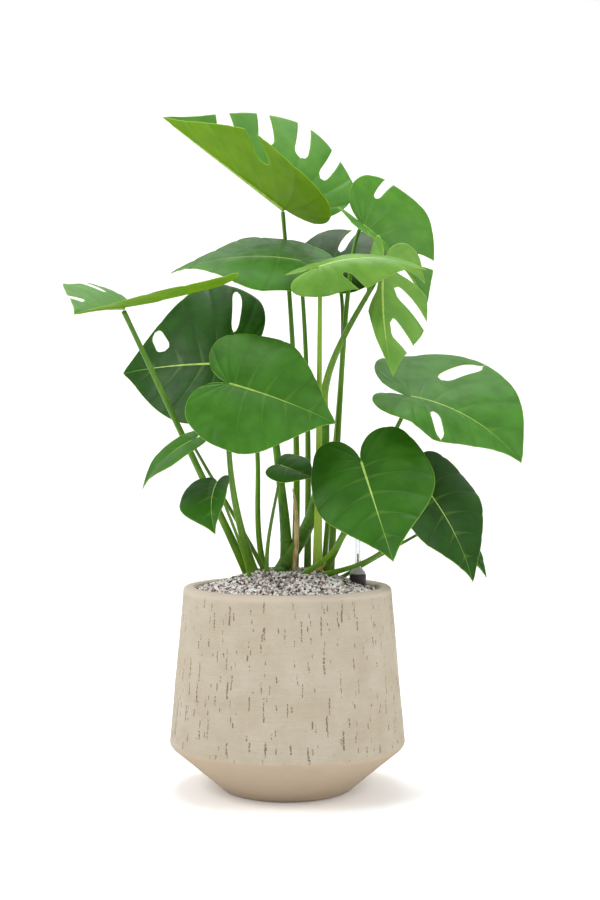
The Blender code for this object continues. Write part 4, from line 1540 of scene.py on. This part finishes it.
@dataclass(frozen=True)
class GranuleBed:
    """The heap of mineral granules: a packed bed under loose stones."""

    edge_height: float = 0.293
    peak_height: float = 0.321
    radius: float = 0.1365
    spacing: float = 0.0033
    stone: Pair = (0.0017, 0.0030)  # smallest and largest radius
    depth: float = 0.020  # how far the bed reaches below its edge
    settled: float = 0.0015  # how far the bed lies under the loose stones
    rings: int = 60
    steps: int = 240
    seed: int = 11

    def height_at(self, radius: Array) -> Array:
        """Height of the heap at a distance from the pot's axis.

        Args:
            radius: distances from the axis.

        Returns:
            Heights.
        """
        share = np.clip((radius - 0.050) / 0.085, 0, 1)
        return self.peak_height + (self.edge_height - self.peak_height) * share ** 0.9

    def build_bed(self) -> bpy.types.Object:
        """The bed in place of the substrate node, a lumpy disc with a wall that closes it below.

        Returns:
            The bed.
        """
        rng = np.random.default_rng(self.seed)
        rings, steps, low_z = self.rings, self.steps, self.edge_height - self.depth
        radii = np.linspace(0.001, self.radius, rings)
        angles = np.arange(steps) * 2 * math.pi / steps
        lumps = rng.uniform(-0.0012, 0.0004, (rings, steps))
        lumps[-1] = -0.001
        heights = self.height_at(radii)[:, None] + lumps - self.settled
        points = np.stack([radii[:, None] * np.cos(angles), radii[:, None] * np.sin(angles),
                           heights], -1).reshape(-1, 3)
        skirt = np.stack([self.radius * np.cos(angles), self.radius * np.sin(angles),
                          np.full(steps, low_z)], -1)
        points = np.vstack([points, skirt, (0, 0, self.peak_height - self.settled),
                            (0, 0, low_z)])
        faces = ring_faces(rings + 1, steps, (0, 3, 2, 1))
        top, low = len(points) - 2, len(points) - 1
        for j in range(steps):
            k = (j + 1) % steps
            faces.append((top, j, k))
            faces.append((low, rings * steps + k, rings * steps + j))
        bed = new_piece("granule_bed", points, faces,
                        [MineralGrain(GranuleKind.ZEOLITE).material("packed_granules")])
        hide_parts("substrate")
        return bed

    def places(self) -> Array:
        """Centres of the loose granules, on a shaken grid over the heap.

        Returns:
            One row per granule.
        """
        rng = np.random.default_rng(self.seed + 1)
        count = int(self.radius / self.spacing) + 1
        grid = np.stack(np.meshgrid(*[np.arange(-count, count + 1)] * 2), -1).reshape(-1, 2)
        spots = grid * self.spacing + rng.uniform(-0.45, 0.45, grid.shape) * self.spacing
        radius = np.linalg.norm(spots, axis=1)
        spots = spots[radius < self.radius - 0.0022]
        radius = np.linalg.norm(spots, axis=1)
        height = self.height_at(radius) + rng.uniform(-0.0012, 0.0012, len(spots))
        return np.column_stack([spots, height])

    def build_stones(self) -> None:
        """Loose granules, one piece for each mineral."""
        rng = np.random.default_rng(self.seed + 2)
        places = self.places()
        shares = np.cumsum([kind.value[2] for kind in GranuleKind])
        choice = np.searchsorted(shares / shares[-1], rng.uniform(0, 1, len(places)))
        ball = bmesh.new()
        bmesh.ops.create_icosphere(ball, subdivisions=1, radius=1.0)
        ball.verts.ensure_lookup_table()
        corners = np.array([tuple(v.co) for v in ball.verts])
        facets = np.array([[v.index for v in f.verts] for f in ball.faces])
        ball.free()
        for index, kind in enumerate(GranuleKind):
            mine = places[choice == index]
            sizes = rng.uniform(*self.stone, (len(mine), 1, 1)) * \
                rng.uniform(0.75, 1.25, (len(mine), 1, 3))
            chips = rng.uniform(0.72, 1.12, (len(mine), len(corners), 1))
            spins = rng.uniform(0, 2 * math.pi, (len(mine), 2))
            stones = corners[None] * chips * sizes
            for axis, other, spin in ((0, 1, spins[:, 0]), (1, 2, spins[:, 1])):
                a, b = stones[..., axis].copy(), stones[..., other].copy()
                stones[..., axis] = a * np.cos(spin)[:, None] - b * np.sin(spin)[:, None]
                stones[..., other] = a * np.sin(spin)[:, None] + b * np.cos(spin)[:, None]
            points = (stones + mine[:, None]).reshape(-1, 3)
            faces = (facets[None] + np.arange(len(mine))[:, None, None] * len(corners))
            piece = new_piece(f"granules_{kind.name.lower()}", points,
                              faces.reshape(-1, 3).tolist(),
                              [MineralGrain(kind).material(f"crushed_{kind.name.lower()}")])
            piece.data.shade_flat()


# ---------------------------------------------------------------- water gauge


@dataclass(frozen=True)
class WaterGauge:
    """The water-level gauge's CAD nodes in moulded and clear plastic."""

    housing: MouldedPlastic = MouldedPlastic("2b2028", 0.32)
    shoulder: MouldedPlastic = MouldedPlastic("b9b6b4", 0.30)
    sight_tube: MouldedPlastic = MouldedPlastic("eef1f2", 0.06, 1.0)
    float_marker: MouldedPlastic = MouldedPlastic("c9a93a", 0.4)

    def dress(self) -> None:
        """Give the gauge's carried-over nodes their plastics."""
        finishes = {
            "gauge_housing": self.housing.material("moulded_dark_abs"),
            "gauge_shoulder": self.shoulder.material("moulded_grey_abs"),
            "gauge_sight_tube": self.sight_tube.material("clear_acrylic"),
            "gauge_float_marker": self.float_marker.material("moulded_marker_abs"),
        }
        for name, material in finishes.items():
            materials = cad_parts[name].data.materials
            materials.clear()
            materials.append(material)


# ---------------------------------------------------------------- studio


@dataclass(frozen=True)
class Studio:
    """Pale floor with a curved backdrop, soft lights and the camera."""

    eye: Point = (0.0187, -2.032, 0.502)
    lens: float = 54.36
    sensor: float = 36.0
    softboxes: tuple = (  # name, place, aim, side and watts
        ("left_softbox", (-2.1, -1.3, 2.1), (0, 0, 0.5), 1.6, 62),
        ("right_softbox", (2.1, -1.2, 1.7), (0, 0, 0.4), 1.6, 42),
        ("top_softbox", (0.1, 0.5, 2.9), (0, 0, 0.5), 1.8, 58),
    )
    half_floor: float = 6.0
    backdrop: float = 3.0  # distance to the backdrop
    bend: float = 1.2  # radius of the curve up to it
    backdrop_height: float = 5.0
    floor_color: str = "ffffff"
    floor_shade: str = "f4f4f2"
    drift_mm: float = 900.0  # size of the faint drifts in the paint
    sky_strength: float = 0.5

    def build_floor(self) -> None:
        """A level floor that curves up into a backdrop behind the plant."""
        half, depth, bend = self.half_floor, self.backdrop, self.bend
        profile = [(y, 0.0) for y in (-half, -half / 2, 0.0, depth - bend)]
        for i in range(1, 13):
            angle = math.radians(90 * i / 12)
            profile.append((depth - bend + bend * math.sin(angle), bend * (1 - math.cos(angle))))
        profile.append((depth, self.backdrop_height))
        points = [(x, y, z) for y, z in profile for x in (-half, half)]
        faces = [(2 * i, 2 * i + 1, 2 * i + 3, 2 * i + 2) for i in range(len(profile) - 1)]
        mesh = bpy.data.meshes.new("floor")
        mesh.from_pydata(points, [], faces)
        mesh.shade_smooth()
        material, tree, shader = new_material("painted_white_board", 0.9)
        space = add_node(tree, "TexCoord", out="Object")
        tone = add_node(tree, "TexNoise", {"Vector": space, "Scale": scale_of(self.drift_mm),
                                           "Detail": 1.0})
        feed(shader, {"Base Color": layered(tree, self.floor_color,
                                            Layer(tone, 0.3, 0.7, self.floor_shade, 0.0, 0.02))})
        mesh.materials.append(material)
        floor = bpy.data.objects.new("floor", mesh)
        bpy.context.scene.collection.objects.link(floor)

    def light(self, name: str, place: Point, aim: Point, size: float, power: float) -> None:
        """Add one soft square light.

        Args:
            name: the light's name.
            place: where it stands.
            aim: what it points at.
            size: length of its side.
            power: watts.
        """
        data = bpy.data.lights.new(name, "AREA")
        data.size = size
        data.energy = power
        lamp = bpy.data.objects.new(name, data)
        lamp.location = place
        direction = Vector(aim) - Vector(place)
        lamp.rotation_euler = direction.to_track_quat("-Z", "Y").to_euler()
        bpy.context.scene.collection.objects.link(lamp)

    def build(self) -> None:
        """Floor, lights, sky and camera."""
        self.build_floor()
        for softbox in self.softboxes:
            self.light(*softbox)
        world = bpy.data.worlds.new("sky")
        world.use_nodes = True
        shade = world.node_tree.nodes["Background"]
        feed(shade, {"Color": (1.0, 1.0, 1.0, 1.0), "Strength": self.sky_strength})
        bpy.context.scene.world = world
        data = bpy.data.cameras.new("camera")
        data.lens = self.lens
        data.sensor_width = self.sensor
        camera = bpy.data.objects.new("camera", data)
        camera.location = self.eye
        camera.rotation_euler = (math.radians(90), 0, 0)
        bpy.context.scene.collection.objects.link(camera)
        bpy.context.scene.camera = camera
        bpy.context.scene.view_settings.view_transform = "Standard"


# ---------------------------------------------------------------- the plant

PALE_STALK = StalkSkin(high="6c9212", low="a3bf34", dark="5f8a14")  # youngest stalk, still yellow

LEAVES = (
    LeafBlade("leaf_top", SPLIT, (-5, 100, 880), (180, 37, -10), 1.20, spread=(1.1, 1.2),
              splits=(1, 4), depth=0.45, bend=0, fold=(25, 55), curl=(0, -20),
              tone=BladeTone.BRIGHT),
    LeafBlade("leaf_back_centre", HEART, (20, 0, 785), (190, 10, -15), 1.00, spread=(0.95, 1.05),
              bend=35, sway=-15, fold=(0, 10), curl=(-50, 0)),
    LeafBlade("leaf_centre", SPLIT, (45, -120, 760), (0, 20, 25), 0.80, spread=(0.55, 0.55),
              splits=(0, 1), depth=0.6, bend=45, fold=(0, -10), curl=(-25, -75),
              tone=BladeTone.SILVERY),
    LeafBlade("leaf_right_upper", SPLIT, (115, 35, 845), (10, -35, 15), 0.80, spread=(1.1, 0.55),
              splits=(2, 0), bend=30, fold=(60, 0), tone=BladeTone.BRIGHT),
    LeafBlade("leaf_hanging", SPLIT, (140, -50, 770), (260, -60, -15), 0.95, spread=(0.75, 0.2),
              splits=(3, 1), depth=0.8, gap=0.045, bend=0, sway=15, fold=(-15, -5),
              curl=(-30, -30), tone=BladeTone.SILVERY),
    LeafBlade("leaf_back_right", SPLIT, (65, 110, 790), (0, 10, 15), 0.65, spread=(1.3, 0.7),
              splits=(1, 0), depth=0.7, fold=(35, -25), curl=(-15, -40),
              tone=BladeTone.SHADED, slot_name="leaf_dark"),
    LeafBlade("leaf_left", SPLIT, (-225, -150, 700), (245, -5, -10), 0.60, spread=(2.7, 1.1),
              splits=(0, 2), bend=10, fold=(20, 30), curl=(0, -25), tone=BladeTone.BRIGHT),
    LeafBlade("leaf_front_heart", HEART, (-80, -130, 595), (-10, -15, 55), 0.80,
              spread=(1.25, 1.25), curl=(-25, -25)),
    LeafBlade("leaf_back_left", SPLIT, (-95, 60, 635), (175, 0, -80), 0.95, spread=(0.85, 1.4),
              splits=(0, 2), depth=0.65, bend=40, fold=(10, -10), curl=(-5, -25), bridge=0.93,
              tone=BladeTone.SHADED, slot_name="leaf_dark"),
    LeafBlade("leaf_curled_left", YOUNG, (-135, -110, 515), (195, -25, -25), 0.50,
              spread=(1.4, 0.6), bend=45, fold=(30, 20), curl=(-35, -25), waves=(0.8, 2.0),
              veins=4, bulge=0.4),
    LeafBlade("leaf_small_left", YOUNG, (-100, -100, 455), (255, -30, 10), 0.50,
              spread=(0.6, 1.4), bend=35, sway=20, tone=BladeTone.DEEP, waves=(0.8, 2.0),
              veins=5, bulge=0.5),
    LeafBlade("leaf_small_centre", YOUNG, (-10, -60, 480), (325, -15, 35), 0.32,
              spread=(1.4, 1.4), bend=5, tone=BladeTone.DEEP, waves=(0.5, 2.0), veins=4,
              bulge=0.4),
    LeafBlade("leaf_right", SPLIT, (180, -60, 580), (0, -10, 20), 0.95, spread=(1.5, 0.8),
              splits=(1, 1), depth=0.6, bend=35, sway=-30, fold=(10, 10), curl=(-10, -40),
              twist=20, bridge=0.94),
    LeafBlade("leaf_lower_right", HEART, (105, -120, 485), (290, -50, 25), 0.86,
              spread=(1.05, 0.9), bend=0, curl=(-30, -30), tone=BladeTone.DEEP),
    LeafBlade("leaf_lower_right_back", HEART, (200, -40, 450), (340, -50, 25), 0.80,
              spread=(1.2, 0.95), bend=30, tone=BladeTone.SHADED, slot_name="leaf_dark"),
    LeafBlade("leaf_small_right", YOUNG, (235, 60, 395), (320, -35, -5), 0.60,
              tone=BladeTone.SHADED, slot_name="leaf_dark", waves=(1.0, 2.0), veins=5),
)

PETIOLES = (
    Petiole("leaf_top", (10, 45), 7.0, 3.2, low=(15, 15, 0), high=(10, 10, 0), sheath=0.35),
    Petiole("leaf_back_centre", (30, 60), 6.5, 3.0, low=(5, 0, 0), high=(10, 0, 0), sheath=0.35),
    Petiole("leaf_centre", (45, -10), 7.5, 3.0, sheath=0.5, wing=0.9, skin=PALE_STALK),
    Petiole("leaf_right_upper", (65, 45), 6.5, 3.0, low=(-5, 0, 0), high=(-10, -5, 150),
            sheath=0.4),
    Petiole("leaf_hanging", (55, 20), 7.5, 3.4, low=(-30, 15, 0), high=(-10, 0, 0), sheath=0.6),
    Petiole("leaf_back_right", (55, 65), 5.0, 2.8, low=(5, 0, 0), high=(50, 10, 150)),
    Petiole("leaf_left", (-60, 10), 7.5, 3.5, sheath=0.3),
    Petiole("leaf_front_heart", (-50, -10), 8.0, 3.0, low=(-20, 0, 0), high=(-20, 0, 0),
            sheath=0.4),
    Petiole("leaf_back_left", (-35, 20), 5.5, 3.0, low=(-10, 10, 0), high=(60, 0, 0), sheath=0.3),
    Petiole("leaf_curled_left", (-35, 5), 4.2, 2.2, low=(0, 40, 0), sheath=0.3),
    Petiole("leaf_small_left", (-55, -35), 3.6, 2.0, low=(5, 0, 0), high=(5, 0, -10)),
    Petiole("leaf_small_centre", (-30, -35), 3.8, 2.0, low=(-10, 0, 0), sheath=0.4),
    Petiole("leaf_right", (55, 10), 6.5, 3.0, sheath=0.5),
    Petiole("leaf_lower_right", (25, -40), 4.6, 2.6, low=(15, 0, -25), high=(20, 0, -50),
            sheath=0.4),
    Petiole("leaf_lower_right_back", (55, -20), 4.8, 2.6, low=(0, 0, -30), high=(20, 0, -60),
            sheath=0.4),
    Petiole("leaf_small_right", (80, 25), 3.6, 2.2),
)

SHEATHS = (
    DrySheath("dry_sheath_tall",
              ((6, -26, 318), (9, -26, 360), (11, -27, 400), (7, -26, 446)), 8.0),
    DrySheath("dry_sheath_low",
              ((30, -14, 316), (38, -18, 326), (46, -18, 330), (56, -14, 333)), 6.0),
)


def main() -> None:
    """Build every piece, the studio and the camera."""
    logging.basicConfig(level=logging.INFO, format="%(message)s")
    LOG.info("pot: %s", Pot().build().name)
    bed = GranuleBed()
    LOG.info("bed: %s", bed.build_bed().name)
    bed.build_stones()
    LOG.info("granules laid")
    Rootstock().build()
    LOG.info("rootstock grown")
    for petiole in PETIOLES:
        LOG.info("stalk: %s", petiole.build().name)
    for sheath in SHEATHS:
        LOG.info("sheath: %s", sheath.build().name)
    for leaf in LEAVES:
        LOG.info("leaf: %s, rib: %s", leaf.build().name, leaf.build_rib().name)
    WaterGauge().dress()
    LOG.info("gauge dressed")
    Studio().build()


if __name__ == "__main__":
    main()
